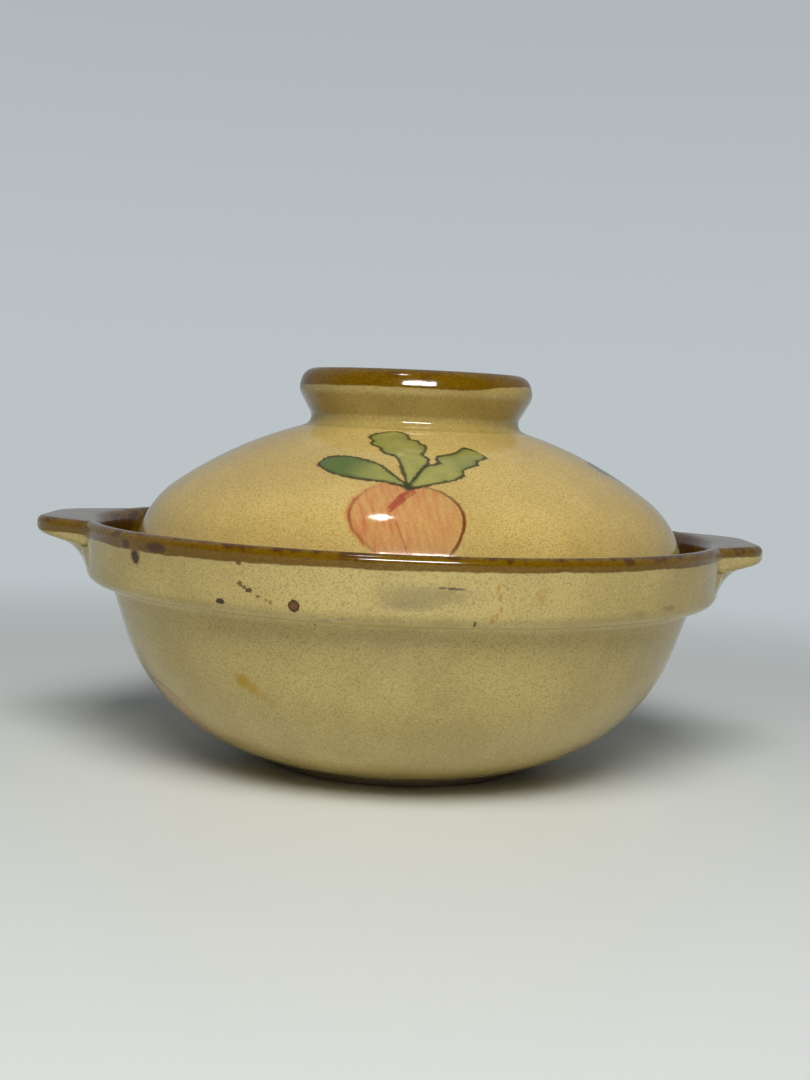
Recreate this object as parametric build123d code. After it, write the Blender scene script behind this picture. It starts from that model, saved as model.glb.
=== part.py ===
from build123d import *
import os
from math import cos, radians, sin, sqrt

# Lidded clay pot for the stove. Millimetres, +Z up.
# The origin is the middle of the foot's resting plane, the handles lie along X.

# Foot, trimmed from the bowl's bottom
foot_radius = 46.0
foot_height = 2.0
foot_ring_width = 8.0
foot_recess_depth = 1.2
foot_edge_radius = 0.8

# Bowl, from the foot up to the crease under the collar
bowl_wall = 6.5
bowl_floor = 6.8
# Outside of the bowl: shares of the way out from the foot to the crease, and of the way up
bowl_outline_shares = [
    (0.165, 0.048),
    (0.368, 0.134),
    (0.544, 0.247),
    (0.708, 0.399),
    (0.842, 0.588),
    (0.922, 0.778),
]
bowl_start_slope_deg = 12.0
bowl_end_slope_deg = 70.0

# Rim
rim_height = 82.5
rim_outer_radius = 112.2
rim_width = 6.5
rim_outer_round = 2.3
rim_inner_round = 3.5

# Collar that steps out over the bowl: down from the rim to its lower corner, then in to the crease
collar_depth = 20.2
collar_lean = 2.5
collar_step = 8.5
collar_undercut = 2.1
collar_corner_round = 5.3

# Ledge inside the collar, where the lid rests
ledge_depth = 15.0
ledge_corner_round = 3.0
ledge_edge_round = 2.2
gallery_draft = 1.2

# Lug handles, flush with the rim: their reach beyond it, and how they widen from the tip to the root's end
handle_reach_left = 14.6
handle_reach_right = 12.0
handle_tip_half_width = 20.0
handle_root_spread = 17.0
handle_end_spread = 18.0
handle_root_blend = 20.0
handle_tip_blend = 20.0
handle_tip_thickness = 5.4
handle_root_thickness = 8.4
handle_edge_round = 2.3
handle_cove_depth = 7.0
handle_cove_radius = 6.5
handle_luting_depth = 4.0

# Lid: a dome of one large radius with a rounded shoulder, on a flange that rests on the ledge
lid_seat_gap = 0.3
lid_shift_x = 2.2
lid_height = 54.9
lid_shoulder_round = 32.0
lid_side_length = 4.4
lid_side_lean_deg = 12.0
lid_wall = 5.6
lid_flange_clearance = 4.6
lid_flange_width = 3.9
lid_flange_height = 4.4
lid_flange_round = 1.9
lid_flange_blend = 2.0
lid_foot_round = 1.0

# Steam hole at the back of the dome
steam_hole_diameter = 6.0
steam_hole_reach = 62.0

# Flared ring on top of the dome: out from its root to its widest, then in to its lip
knob_root_radius = 35.0
knob_root_width = 4.5
knob_root_rise = 0.5
knob_root_blend = 3.2
knob_flare = 6.2
knob_flare_height = 11.0
knob_wide_round = 6.0
knob_lip_lean = 2.0
knob_lip_height = 7.3
knob_lip_round = 5.0
knob_lip_inner_round = 2.2
knob_wall = 6.6

# Most that a round may take of the wall or edge that carries it
rim_outer_round_share = 0.4
rim_inner_round_share = 0.56
flange_round_share = 0.49
flange_blend_share = 0.52
edge_round_share = 0.45

# One overrun for every cut that has to run past a surface
overrun = 30.0


def point(radius, height):
    """A point of a section, in the plane through the axis."""
    return Vector(radius, 0, height)


def slope(angle_deg):
    """A direction in the section, so many degrees up from straight out."""
    return Vector(cos(radians(angle_deg)), 0, sin(radians(angle_deg)))


def spin(lines):
    """Turns a closed run of section lines about the axis."""
    return revolve(make_face(lines), Axis.Z)


def collar_corner():
    """Point where the collar's outside turns in under itself."""
    return point(rim_outer_radius - collar_lean, rim_height - collar_depth)


def crease():
    """Point of the crease between collar and bowl."""
    return collar_corner() - point(collar_step, collar_undercut)


def bowl_outside():
    """The bowl's outside line, from the foot out and up to the crease."""
    start = point(foot_radius, foot_height)
    way = crease() - start
    between = [start + point(out * way.X, up * way.Z) for out, up in bowl_outline_shares]
    points = [start, *between, crease()]
    ends = [slope(bowl_start_slope_deg), slope(bowl_end_slope_deg)]
    return Spline(points, tangents=ends)


def bowl_inside(outside, top):
    """The bowl's inside line, one wall in from the outside, from the mouth down to the floor's middle."""
    steps = len(bowl_outline_shares)
    points = []
    for step in range(steps, 0, -1):
        share = step / (steps + 1)
        place = outside.position_at(share)
        along = outside.tangent_at(share)
        inward = Vector(-along.Z, 0, along.X).normalized()
        points.append(place + inward * bowl_wall)
    floor = point(0, foot_recess_depth + bowl_floor)
    return Spline([top, *points, floor], tangents=[Vector(0, 0, -1), Vector(-1, 0, 0)])


def crest_round():
    """Round of the rim's outer edge, within the rim's width."""
    return min(rim_outer_round, rim_width * rim_outer_round_share)


def gallery_radius():
    """Inside radius of the collar at the ledge."""
    return rim_outer_radius - rim_width - gallery_draft


def ledge_height():
    """Height of the ledge that carries the lid."""
    return rim_height - ledge_depth


def mouth_radius():
    """Radius of the bowl's mouth, at the ledge's inner edge."""
    return crease().X - bowl_wall


def pot_body():
    """Foot, bowl, collar and ledge as one wall of clay."""
    outside = bowl_outside()
    ring_inner = foot_radius - foot_ring_width
    foot = FilletPolyline(
        point(0, foot_recess_depth),
        point(ring_inner - foot_recess_depth, foot_recess_depth),
        point(ring_inner, 0),
        point(foot_radius, 0),
        point(foot_radius, foot_height),
        radius=[foot_edge_radius, foot_edge_radius, foot_edge_radius],
    )
    mouth = point(mouth_radius(), ledge_height() - 2 * ledge_edge_round)
    collar = FilletPolyline(
        crease(),
        collar_corner(),
        point(rim_outer_radius, rim_height),
        point(rim_outer_radius - rim_width, rim_height),
        point(gallery_radius(), ledge_height()),
        point(mouth_radius(), ledge_height()),
        mouth,
        radius=[
            collar_corner_round,
            crest_round(),
            min(rim_inner_round, rim_width * rim_inner_round_share),
            ledge_corner_round,
            ledge_edge_round,
        ],
    )
    inside = bowl_inside(outside, mouth)
    axis_line = Line(inside @ 1, foot @ 0)
    return spin([foot, outside, collar, inside, axis_line])


def plan_point(radius, half_width):
    """A point in plan on a circle about the axis, so far out from the handles' line."""
    return Vector(sqrt(radius**2 - half_width**2), half_width)


def handle_plan(reach):
    """Plan outline of the handle on the +X side, run back into the collar."""
    root_half_width = handle_tip_half_width + handle_root_spread
    root = plan_point(rim_outer_radius, root_half_width)
    back = plan_point(rim_outer_radius - handle_luting_depth, root_half_width + handle_end_spread)
    tip = Vector(rim_outer_radius + reach, handle_tip_half_width)
    half = [Vector(back.X - handle_root_blend, back.Y), back, root, tip]
    points = [*half, *[Vector(p.X, -p.Y) for p in reversed(half)]]
    blends = [handle_root_blend, handle_tip_blend]
    edge = FilletPolyline(points[1:-1], radius=[*blends, *reversed(blends)])
    sides = Polyline(points[-2], points[-1], points[0], points[1])
    return make_face([edge, sides])


def handle_underside():
    """Space below the handles: the sloping underside and the cove down to the collar's wall."""
    far = rim_outer_radius + handle_reach_left + overrun
    root_under = rim_height - handle_root_thickness
    rise = (handle_root_thickness - handle_tip_thickness) / handle_reach_left
    far_under = root_under + rise * (far - rim_outer_radius)
    line = FilletPolyline(
        point(far, far_under),
        point(rim_outer_radius, root_under),
        point(rim_outer_radius - handle_luting_depth, root_under - handle_cove_depth - handle_cove_radius),
        radius=handle_cove_radius,
    )
    low = collar_corner().Z - overrun
    inner = rim_outer_radius - handle_luting_depth
    closing = Polyline(line @ 1, point(inner, low), point(far, low), line @ 0)
    return spin([line, closing])


def handle(reach, body):
    """A lug handle on the +X side, cut back to the collar's face that it is luted to."""
    bottom = rim_height - handle_root_thickness - handle_cove_depth
    slab = extrude(handle_plan(reach), amount=rim_height - bottom).moved(Location((0, 0, bottom)))
    slab = slab - handle_underside()
    outline = slab.edges().filter_by(lambda edge: edge.center().X > rim_outer_radius)
    edge_round = min(handle_edge_round, handle_tip_thickness * edge_round_share)
    slab = fillet(outline.filter_by(Axis.Z, reverse=True), edge_round)
    core = Pos(0, 0, rim_height) * Cylinder(rim_outer_radius - crest_round(), 2 * rim_height)
    return slab - core - body


def lid_seat():
    """Height of the lid's foot, just over the ledge."""
    return ledge_height() + lid_seat_gap


def crown_height():
    """Height of the dome's top."""
    return lid_seat() + lid_height


def flange_radius():
    """Outside radius of the lid's flange, inside the collar."""
    return gallery_radius() - lid_flange_clearance


def side_down():
    """Direction of the dome's leaning side, downwards."""
    lean = radians(lid_side_lean_deg)
    return Vector(sin(lean), 0, -cos(lean))


def side_outward():
    """Direction square to the dome's leaning side, outwards."""
    lean = radians(lid_side_lean_deg)
    return Vector(cos(lean), 0, sin(lean))


def side_foot():
    """Point where the dome's side meets its flange."""
    return point(flange_radius() - lid_flange_width, lid_seat() + lid_flange_height)


def shoulder_centre():
    """Centre of the shoulder's arc, square in from the top of the leaning side."""
    return side_foot() - side_down() * lid_side_length - side_outward() * lid_shoulder_round


def dome_radius():
    """Radius of the crown's arc, which runs on into the shoulder's."""
    centre = shoulder_centre()
    drop = crown_height() - centre.Z
    return (centre.X**2 + drop**2 - lid_shoulder_round**2) / (2 * (drop - lid_shoulder_round))


def dome_height(radius):
    """Height of the dome's outside at a radius inside the shoulder."""
    return crown_height() - dome_radius() + sqrt(dome_radius()**2 - radius**2)


def arc_about(centre, radius, first, last):
    """Arc about a centre, between two unit directions."""
    middle = (first + last).normalized()
    return ThreePointArc(*[centre + way * radius for way in (first, middle, last)])


def dome_lines(inset):
    """The dome's section, set in by so much: crown arc and shoulder arc, from the axis out to the side."""
    centre = point(0, crown_height() - dome_radius())
    joint = (shoulder_centre() - centre).normalized()
    crown_arc = arc_about(centre, dome_radius() - inset, Vector(0, 0, 1), joint)
    shoulder_arc = arc_about(shoulder_centre(), lid_shoulder_round - inset, joint, side_outward())
    return crown_arc, shoulder_arc


def lid_dome():
    """Dome with its flange and foot, hollow below, with a steam hole at the back."""
    crown, shoulder = dome_lines(0)
    crown_inside, shoulder_inside = dome_lines(lid_wall)
    flange_round = min(lid_flange_round, min(lid_flange_width, lid_flange_height) * flange_round_share)
    inner_foot = side_foot() - side_outward() * lid_wall
    drop = (inner_foot.Z - lid_seat()) / -side_down().Z
    flange = FilletPolyline(
        shoulder @ 1,
        side_foot(),
        point(flange_radius(), side_foot().Z),
        point(flange_radius(), lid_seat()),
        inner_foot + side_down() * drop,
        shoulder_inside @ 1,
        radius=[
            min(lid_flange_blend, lid_flange_width * flange_blend_share),
            flange_round,
            flange_round,
            lid_foot_round,
        ],
    )
    axis_line = Line(crown_inside @ 0, crown @ 0)
    solid = spin([crown, shoulder, flange, shoulder_inside, crown_inside, axis_line])
    hole = Pos(0, steam_hole_reach, crown_height()) * Cylinder(steam_hole_diameter / 2, 2 * lid_height)
    return solid - hole


def on_dome(radius):
    """Point of the section on the dome's outside."""
    return point(radius, dome_height(radius))


def lid_knob_ring():
    """The flared ring, its foot lying on the dome's own surface."""
    skirt = on_dome(knob_root_radius + knob_root_width)
    inner = on_dome(knob_root_radius - knob_wall)
    root = on_dome(knob_root_radius) + point(0, knob_root_rise)
    wide = root + point(knob_flare, knob_flare_height)
    lip = wide + point(-knob_lip_lean, knob_lip_height)
    ring = FilletPolyline(
        skirt,
        root,
        wide,
        lip,
        lip - point(knob_wall, 0),
        inner,
        radius=[knob_root_blend, knob_wide_round, knob_lip_round, knob_lip_inner_round],
    )
    foot = ThreePointArc(inner, on_dome(knob_root_radius), skirt)
    return spin([ring, foot])


os.makedirs("parts", exist_ok=True)
body = pot_body()
right = handle(handle_reach_right, body)
left = handle(handle_reach_left, body).rotate(Axis.Z, 180)
lid_place = Location((lid_shift_x, 0, 0))
dome = lid_dome().moved(lid_place)
ring = lid_knob_ring().moved(lid_place)

export_step(body, "parts/pot_body.step")
export_step(left, "parts/handle_left.step")
export_step(right, "parts/handle_right.step")
export_step(dome, "parts/lid_dome.step")
export_step(ring, "parts/lid_knob_ring.step")
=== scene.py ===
"""Dresses the lidded clay pot: glazed skins over its solids, painted turnips, floor, light and camera.

Sizes are millimetres unless a name says otherwise, and turn to metres as a mesh is made. X runs along the
handles, the painted front faces -Y and +Z is up.
"""
import logging
from collections.abc import Callable
from dataclasses import dataclass, field
from enum import Enum
from math import atan2, cos, degrees, pi, radians, sin, sqrt

import bpy
import numpy as np
from mathutils import Matrix, Vector


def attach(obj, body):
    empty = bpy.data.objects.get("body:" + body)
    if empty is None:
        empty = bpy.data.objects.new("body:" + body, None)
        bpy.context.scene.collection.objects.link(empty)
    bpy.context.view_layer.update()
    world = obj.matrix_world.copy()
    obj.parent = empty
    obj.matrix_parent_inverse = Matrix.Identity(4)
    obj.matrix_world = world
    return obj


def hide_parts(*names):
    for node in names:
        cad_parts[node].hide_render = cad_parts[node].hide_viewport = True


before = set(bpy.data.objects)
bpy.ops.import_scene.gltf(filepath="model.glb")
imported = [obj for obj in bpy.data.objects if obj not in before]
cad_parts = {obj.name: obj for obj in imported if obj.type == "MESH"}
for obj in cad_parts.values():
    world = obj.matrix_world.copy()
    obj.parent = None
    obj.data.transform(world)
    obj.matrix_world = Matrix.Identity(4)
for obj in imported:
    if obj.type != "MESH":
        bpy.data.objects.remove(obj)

log = logging.getLogger("clay_pot")

METRES_PER_MM = 0.001
MM_PER_METRE = 1000.0

Colour = tuple[float, float, float, float]
Marks = dict[str, np.ndarray]
Socket = bpy.types.NodeSocket


# Lines of a section

def unit(ways: np.ndarray, shortest: float = 1e-9) -> np.ndarray:
    """Directions of length one."""
    return ways / np.maximum(np.linalg.norm(ways, axis=-1, keepdims=True), shortest)


def rounded(corners: np.ndarray, radii: np.ndarray, steps: int = 9) -> np.ndarray:
    """Points of runs of straight lines whose inner corners are rounded.

    A round starts radius / tan(half the corner's angle) back from the corner and ends as far ahead of it. Its
    centre is on the corner's bisector, radius / sin(half the angle) away, and the arc turns evenly about it.

    Args:
        corners: places (radius, height) along the last axis, corners along the one before it.
        radii: a radius for each inner corner.
        steps: points on each round.

    Returns:
        First corner, every round's points and last corner, along the last axis but one.
    """
    corners = np.asarray(corners, float)
    at = corners[..., 1:-1, :]
    back = unit(corners[..., :-2, :] - at)
    ahead = unit(corners[..., 2:, :] - at)
    half = np.arccos(np.clip((back * ahead).sum(-1), -1, 1))[..., None] / 2
    radii = np.broadcast_to(np.asarray(radii, float)[..., None], half.shape)
    centre = at + unit(back + ahead) * radii / np.sin(half)
    start = at + back * radii / np.tan(half) - centre
    end = at + ahead * radii / np.tan(half) - centre
    turn = (pi - 2 * half)[..., None]
    share = np.linspace(0, 1, steps)[:, None]
    from_start = np.sin((1 - share) * turn) * start[..., None, :]
    to_end = np.sin(share * turn) * end[..., None, :]
    arcs = (from_start + to_end) / np.sin(turn) + centre[..., None, :]
    flat = arcs.reshape(*arcs.shape[:-3], -1, 2)
    return np.concatenate([corners[..., :1, :], flat, corners[..., -1:, :]], axis=-2)


def smooth_line(points: np.ndarray, first_way: np.ndarray, last_way: np.ndarray, count: int) -> np.ndarray:
    """Points of the smoothest curve through given places, with given directions at its ends.

    Cubic pieces in the chord's length meet with equal slope and bend: the slopes solve one linear system.

    Args:
        points: places the curve goes through.
        first_way: direction at the first place.
        last_way: direction at the last place.
        count: how many points to return.

    Returns:
        The curve's points, evenly spaced in its parameter.
    """
    points = np.asarray(points, float)
    gaps = np.linalg.norm(np.diff(points, axis=0), axis=1)
    rises = np.diff(points, axis=0) / gaps[:, None]
    size = len(points)
    system = np.eye(size)
    wanted = np.zeros((size, 2))
    inner = np.arange(1, size - 1)
    system[inner, inner - 1] = 1 / gaps[:-1]
    system[inner, inner] = 2 / gaps[:-1] + 2 / gaps[1:]
    system[inner, inner + 1] = 1 / gaps[1:]
    wanted[inner] = 3 * (rises[:-1] / gaps[:-1, None] + rises[1:] / gaps[1:, None])
    wanted[0] = unit(np.asarray(first_way, float))
    wanted[-1] = unit(np.asarray(last_way, float))
    slopes = np.linalg.solve(system, wanted)
    knots = np.concatenate([[0], np.cumsum(gaps)])
    place = np.linspace(0, knots[-1], count)
    piece = np.clip(np.searchsorted(knots, place, side="right") - 1, 0, size - 2)
    gap = gaps[piece][:, None]
    t = (place - knots[piece])[:, None] / gap
    low = (2 * t**3 - 3 * t**2 + 1) * points[piece] + (t**3 - 2 * t**2 + t) * gap * slopes[piece]
    high = (3 * t**2 - 2 * t**3) * points[piece + 1] + (t**3 - t**2) * gap * slopes[piece + 1]
    return low + high


def lengths_along(line: np.ndarray) -> np.ndarray:
    """Distance of each point of a line from its first, along it."""
    return np.concatenate([[0], np.cumsum(np.linalg.norm(np.diff(line, axis=0), axis=1))])


def filled_in(line: np.ndarray, spacing: float) -> np.ndarray:
    """A line with more points on its straight runs, and none that nearly coincide.

    A point is added at each step of the spacing that lies more than a third of it from every point, and of
    points nearer than a fiftieth of the spacing one is kept.

    Args:
        line: the points.
        spacing: distance between the added points, along the line.

    Returns:
        The fuller line.
    """
    along = lengths_along(line)
    fresh = np.arange(spacing, along[-1], spacing)
    clear = np.abs(fresh[:, None] - along[None, :]).min(1) > spacing / 3
    every = np.sort(np.concatenate([along, fresh[clear]]))
    keep = np.concatenate([[True], np.diff(every) > spacing / 50])
    every = every[keep]
    return np.stack([np.interp(every, along, line[:, 0]), np.interp(every, along, line[:, 1])], axis=1)


def arc(centre: np.ndarray, radius: float, first_deg: float, last_deg: float, count: int) -> np.ndarray:
    """Points of an arc: centre + radius * (cos, sin) of each angle.

    Args:
        centre: the arc's middle.
        radius: its radius.
        first_deg: angle of its first point, up from straight out.
        last_deg: angle of its last point.
        count: how many points.

    Returns:
        The points, evenly spaced.
    """
    angles = np.radians(np.linspace(first_deg, last_deg, count))
    return np.asarray(centre) + radius * np.stack([np.cos(angles), np.sin(angles)], axis=1)


def eased(share: np.ndarray) -> np.ndarray:
    """Share from 0 to 1 with level ends: three times its square less twice its cube."""
    share = np.clip(share, 0, 1)
    return share**2 * (3 - 2 * share)


# Skins: grids of points made into meshes

class Ends(Enum):
    """How the rows of a skin's grid end."""
    JOINED = "the last row joins the first"
    CAPPED = "a fan closes the first row and the last"


def turned(line: np.ndarray, count: int) -> np.ndarray:
    """Carries a section line about the axis, starting at the front.

    Args:
        line: (radius, height) places.
        count: points round the axis.

    Returns:
        Grid of places: x = radius * sin(azimuth), y = -radius * cos(azimuth), z = height.
    """
    azimuth = np.linspace(0, 2 * pi, count, endpoint=False)
    radius, height = line[:, :1], line[:, 1:]
    return np.stack([radius * np.sin(azimuth), -radius * np.cos(azimuth), height + 0 * azimuth], axis=-1)


def thrown_by_hand(grid: np.ndarray, depth: float, share: np.ndarray) -> np.ndarray:
    """Presses the outside of a turned grid in a little, as a potter's hand leaves it.

    The depth is a sum of slow sine waves over azimuth and height, kept between nothing and the whole depth.

    Args:
        grid: rows, columns and places.
        depth: most that a point moves towards the axis.
        share: how much of it each row gets.

    Returns:
        The pressed grid.
    """
    azimuth = np.arctan2(grid[..., 0], -grid[..., 1])
    height = grid[..., 2]
    waves = np.sin(2 * azimuth + 0.03 * height + 0.8) + np.sin(3 * azimuth - 0.05 * height + 2.1)
    waves = waves + np.sin(5 * azimuth + 0.21 * height) + 0.7 * np.sin(0.9 * height + 2 * np.sin(azimuth))
    crest = 3.7
    inward = depth * share[:, None] * (waves + crest) / (2 * crest)
    pressed = grid.copy()
    pressed[..., :2] *= (1 - inward / np.hypot(grid[..., 0], grid[..., 1]).clip(1))[..., None]
    return pressed


def skin(name: str, grid: np.ndarray, ends: Ends, marks: Marks) -> bpy.types.Object:
    """Makes a closed mesh from a grid whose columns join round, facing outwards.

    Over its triangles, corner a dot (b cross c) adds up to six times its volume, which is below nothing when
    the faces point inwards: then they are turned.

    Args:
        name: the piece's name.
        grid: rows, columns and places in millimetres.
        ends: how the rows end.
        marks: values for each grid point, kept as point attributes of the mesh.

    Returns:
        The piece, at the origin.
    """
    rows, columns = grid.shape[:2]
    vertices = grid.reshape(-1, 3)
    index = np.arange(rows * columns).reshape(rows, columns)
    low = index if ends is Ends.JOINED else index[:-1]
    high = np.roll(index, -1, axis=0) if ends is Ends.JOINED else index[1:]
    quads = np.stack([low, np.roll(low, -1, axis=1), np.roll(high, -1, axis=1), high], axis=-1).reshape(-1, 4)
    fans = np.empty((0, 3), int)
    if ends is Ends.CAPPED:
        vertices = np.concatenate([vertices, [grid[0].mean(0), grid[-1].mean(0)]])
        first, last = index[0], index[-1]
        start = np.stack([np.full(columns, len(vertices) - 2), np.roll(first, -1), first], axis=-1)
        finish = np.stack([np.full(columns, len(vertices) - 1), last, np.roll(last, -1)], axis=-1)
        fans = np.concatenate([start, finish])
    triangles = np.concatenate([quads[:, :3], quads[:, [0, 2, 3]], fans])
    a, b, c = (vertices[triangles[:, k]] for k in range(3))
    if (a * np.cross(b, c)).sum() < 0:
        quads, fans = quads[:, ::-1], fans[:, ::-1]
    mesh = bpy.data.meshes.new(name)
    mesh.from_pydata((vertices * METRES_PER_MM).tolist(), [], quads.tolist() + fans.tolist())
    mesh.polygons.foreach_set("use_smooth", np.ones(len(mesh.polygons), bool))
    for mark, values in marks.items():
        layer = mesh.attributes.new(mark, "FLOAT", "POINT")
        values = np.broadcast_to(values, (rows, columns))
        flat = values.reshape(-1)
        if ends is Ends.CAPPED:
            flat = np.concatenate([flat, [values[0].mean(), values[-1].mean()]])
        layer.data.foreach_set("value", flat.astype(np.float32))
    mesh.validate()
    mesh.update()
    piece = bpy.data.objects.new(name, mesh)
    bpy.context.scene.collection.objects.link(piece)
    log.info("%s: %d points, %d faces", name, len(mesh.vertices), len(mesh.polygons))
    return piece


def finish_piece(
        piece: bpy.types.Object, body: str, node: str, material: bpy.types.Material) -> None:
    """Dresses a piece and lets it stand for its solid.

    Args:
        piece: the finished mesh object.
        body: the body that it rides on.
        node: the solid that it replaces.
        material: its finish.
    """
    piece.data.materials.append(material)
    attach(piece, body)
    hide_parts(node)


# Shader wiring

class Wires:
    """Adds shader nodes to one tree and joins them."""

    def __init__(self, tree: bpy.types.NodeTree) -> None:
        """Keeps the tree."""
        self.tree = tree

    def join(self, socket: Socket, value: object) -> None:
        """Links a socket's value, or sets it.

        Args:
            socket: the input.
            value: a socket to link, or a value to set.
        """
        if isinstance(value, Socket):
            self.tree.links.new(value, socket)
        else:
            socket.default_value = value

    def node(self, kind: str, settings: dict | None = None, feeds: dict | None = None) -> bpy.types.Node:
        """Adds a node.

        Args:
            kind: the node's type.
            settings: its properties by name.
            feeds: values or sockets for its inputs, by name or number.

        Returns:
            The node.
        """
        made = self.tree.nodes.new(kind)
        for name, value in (settings or {}).items():
            setattr(made, name, value)
        for name, value in (feeds or {}).items():
            self.join(made.inputs[name], value)
        return made

    def math(self, operation: str, *terms: object, clamp: bool = False) -> Socket:
        """One step of arithmetic."""
        settings = {"operation": operation, "use_clamp": clamp}
        return self.node("ShaderNodeMath", settings, dict(enumerate(terms))).outputs[0]

    def plus(self, first: object, second: object, clamp: bool = False) -> Socket:
        """The sum of two numbers."""
        return self.math("ADD", first, second, clamp=clamp)

    def less(self, first: object, second: object) -> Socket:
        """The first number less the second."""
        return self.math("SUBTRACT", first, second)

    def times(self, first: object, second: object, clamp: bool = False) -> Socket:
        """The product of two numbers."""
        return self.math("MULTIPLY", first, second, clamp=clamp)

    def vector(self, operation: str, *terms: object) -> Socket:
        """One step of vector arithmetic, whose result is a number for a length, distance or dot product.

        Args:
            operation: the node's operation.
            terms: its vectors, in order.

        Returns:
            The result.
        """
        made = self.node("ShaderNodeVectorMath", {"operation": operation}, dict(enumerate(terms)))
        is_number = operation in ("LENGTH", "DISTANCE", "DOT_PRODUCT")
        return made.outputs["Value" if is_number else "Vector"]

    def scaled(self, place: object, factor: object) -> Socket:
        """A vector times a number."""
        feeds = {0: place, "Scale": factor}
        return self.node("ShaderNodeVectorMath", {"operation": "SCALE"}, feeds).outputs["Vector"]

    def split(self, place: object) -> tuple[Socket, Socket, Socket]:
        """The three parts of a vector."""
        made = self.node("ShaderNodeSeparateXYZ", feeds={0: place})
        return made.outputs[0], made.outputs[1], made.outputs[2]

    def combine(self, x: object, y: object, z: object = 0.0) -> Socket:
        """A vector from its parts."""
        return self.node("ShaderNodeCombineXYZ", feeds={0: x, 1: y, 2: z}).outputs[0]

    def rise(self, value: object, low: object, high: object) -> Socket:
        """Smooth step from 0 at low to 1 at high.

        Args:
            value: the number that is stepped.
            low: where the step starts.
            high: where it ends.

        Returns:
            The step, 0 to 1.
        """
        settings = {"interpolation_type": "SMOOTHSTEP"}
        feeds = {"Value": value, "From Min": low, "From Max": high}
        return self.node("ShaderNodeMapRange", settings, feeds).outputs["Result"]

    def mix(self, share: object, first: object, second: object, way: str = "MIX") -> Socket:
        """Two colours mixed."""
        settings = {"data_type": "RGBA", "blend_type": way}
        return self.node("ShaderNodeMix", settings, {0: share, 6: first, 7: second}).outputs[2]

    def between(self, share: object, first: object, second: object) -> Socket:
        """Two numbers mixed."""
        return self.node("ShaderNodeMix", {"data_type": "FLOAT"}, {0: share, 2: first, 3: second}).outputs[0]

    def noise(self, place: object, per_mm: float, detail: float = 2.0, rough: float = 0.5) -> Socket:
        """Soft noise, so many features to a millimetre, about 0.5 at its middle."""
        feeds = {"Vector": place, "Scale": per_mm, "Detail": detail, "Roughness": rough}
        return self.node("ShaderNodeTexNoise", feeds=feeds).outputs[0]

    def swing(self, place: object, per_mm: float, detail: float = 2.0, rough: float = 0.5) -> Socket:
        """Soft noise less 0.5, so that it swings about nothing."""
        return self.less(self.noise(place, per_mm, detail, rough), 0.5)

    def curve(self, value: object, points: list[tuple[float, float]]) -> Socket:
        """Smooth curve through given points.

        Args:
            value: where on the curve, from 0 to 1.
            points: (value, height) places, with heights from 0 to 1.

        Returns:
            The curve's height.
        """
        made = self.node("ShaderNodeFloatCurve", feeds={"Value": value})
        line = made.mapping.curves[0]
        line.points[0].location = points[0]
        line.points[1].location = points[-1]
        for place in points[1:-1]:
            line.points.new(*place)
        made.mapping.update()
        return made.outputs[0]

    def mapped(self, place: object, at: tuple, turn_deg: float = 0.0, size: tuple = (1, 1, 1)) -> Socket:
        """A place as seen from a frame that is moved, turned about Z and sized."""
        feeds = {"Vector": place, "Location": at, "Rotation": (0, 0, radians(turn_deg)), "Scale": size}
        return self.node("ShaderNodeMapping", {"vector_type": "TEXTURE"}, feeds).outputs[0]

    def mark(self, name: str) -> Socket:
        """A point attribute of the piece."""
        return self.node("ShaderNodeAttribute", {"attribute_name": name}).outputs["Fac"]

    def place_mm(self) -> Socket:
        """The piece's own place in millimetres."""
        found = self.node("ShaderNodeTexCoord").outputs["Object"]
        return self.scaled(found, MM_PER_METRE)


FLOAT = "NodeSocketFloat"
VECTOR = "NodeSocketVector"
COLOUR = "NodeSocketColor"


@dataclass
class Effect:
    """A shared shader effect: a node group with named inputs and outputs, built once."""
    name: str
    inputs: dict[str, str]
    outputs: dict[str, str]
    build: Callable[[Wires, dict[str, Socket]], dict[str, Socket]]
    group: bpy.types.NodeTree | None = None

    def made(self) -> bpy.types.NodeTree:
        """The group, built on its first use.

        Returns:
            The effect's node group.
        """
        if self.group is None:
            tree = bpy.data.node_groups.new(self.name, "ShaderNodeTree")
            for name, kind in self.inputs.items():
                tree.interface.new_socket(name=name, in_out="INPUT", socket_type=kind)
            for name, kind in self.outputs.items():
                tree.interface.new_socket(name=name, in_out="OUTPUT", socket_type=kind)
            wires = Wires(tree)
            given = wires.node("NodeGroupInput")
            results = self.build(wires, {name: given.outputs[name] for name in self.inputs})
            wires.node("NodeGroupOutput", feeds=results)
            self.group = tree
        return self.group

    def use(self, wires: Wires, **feeds: object) -> dict[str, Socket]:
        """Places the effect in a tree.

        Args:
            wires: the tree's wiring.
            feeds: values or sockets for its inputs, with _ for a space.

        Returns:
            Its outputs by name.
        """
        named = {name.replace("_", " "): value for name, value in feeds.items()}
        made = wires.node("ShaderNodeGroup", {"node_tree": self.made()}, named)
        return {name: made.outputs[name] for name in self.outputs}


# Effects: a noise's first number is its features to a millimetre, a rise's two are where it is 0 and where 1

def build_turned_place(w: Wires, given: dict) -> dict:
    """Azimuth from the front, positive to the right, distance from the axis, and height.

    Args:
        w: the group's wiring.
        given: its inputs by name.

    Returns:
        Its outputs by name.
    """
    x, y, height = w.split(given["Place"])
    azimuth = w.math("ARCTAN2", x, w.times(y, -1.0))
    radius = w.math("SQRT", w.plus(w.times(x, x), w.times(y, y)))
    return {"Azimuth": azimuth, "Radius": radius, "Height": height}


TURNED_PLACE = Effect(
    "turned_place",
    {"Place": VECTOR},
    {"Azimuth": FLOAT, "Radius": FLOAT, "Height": FLOAT},
    build_turned_place,
)


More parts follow.
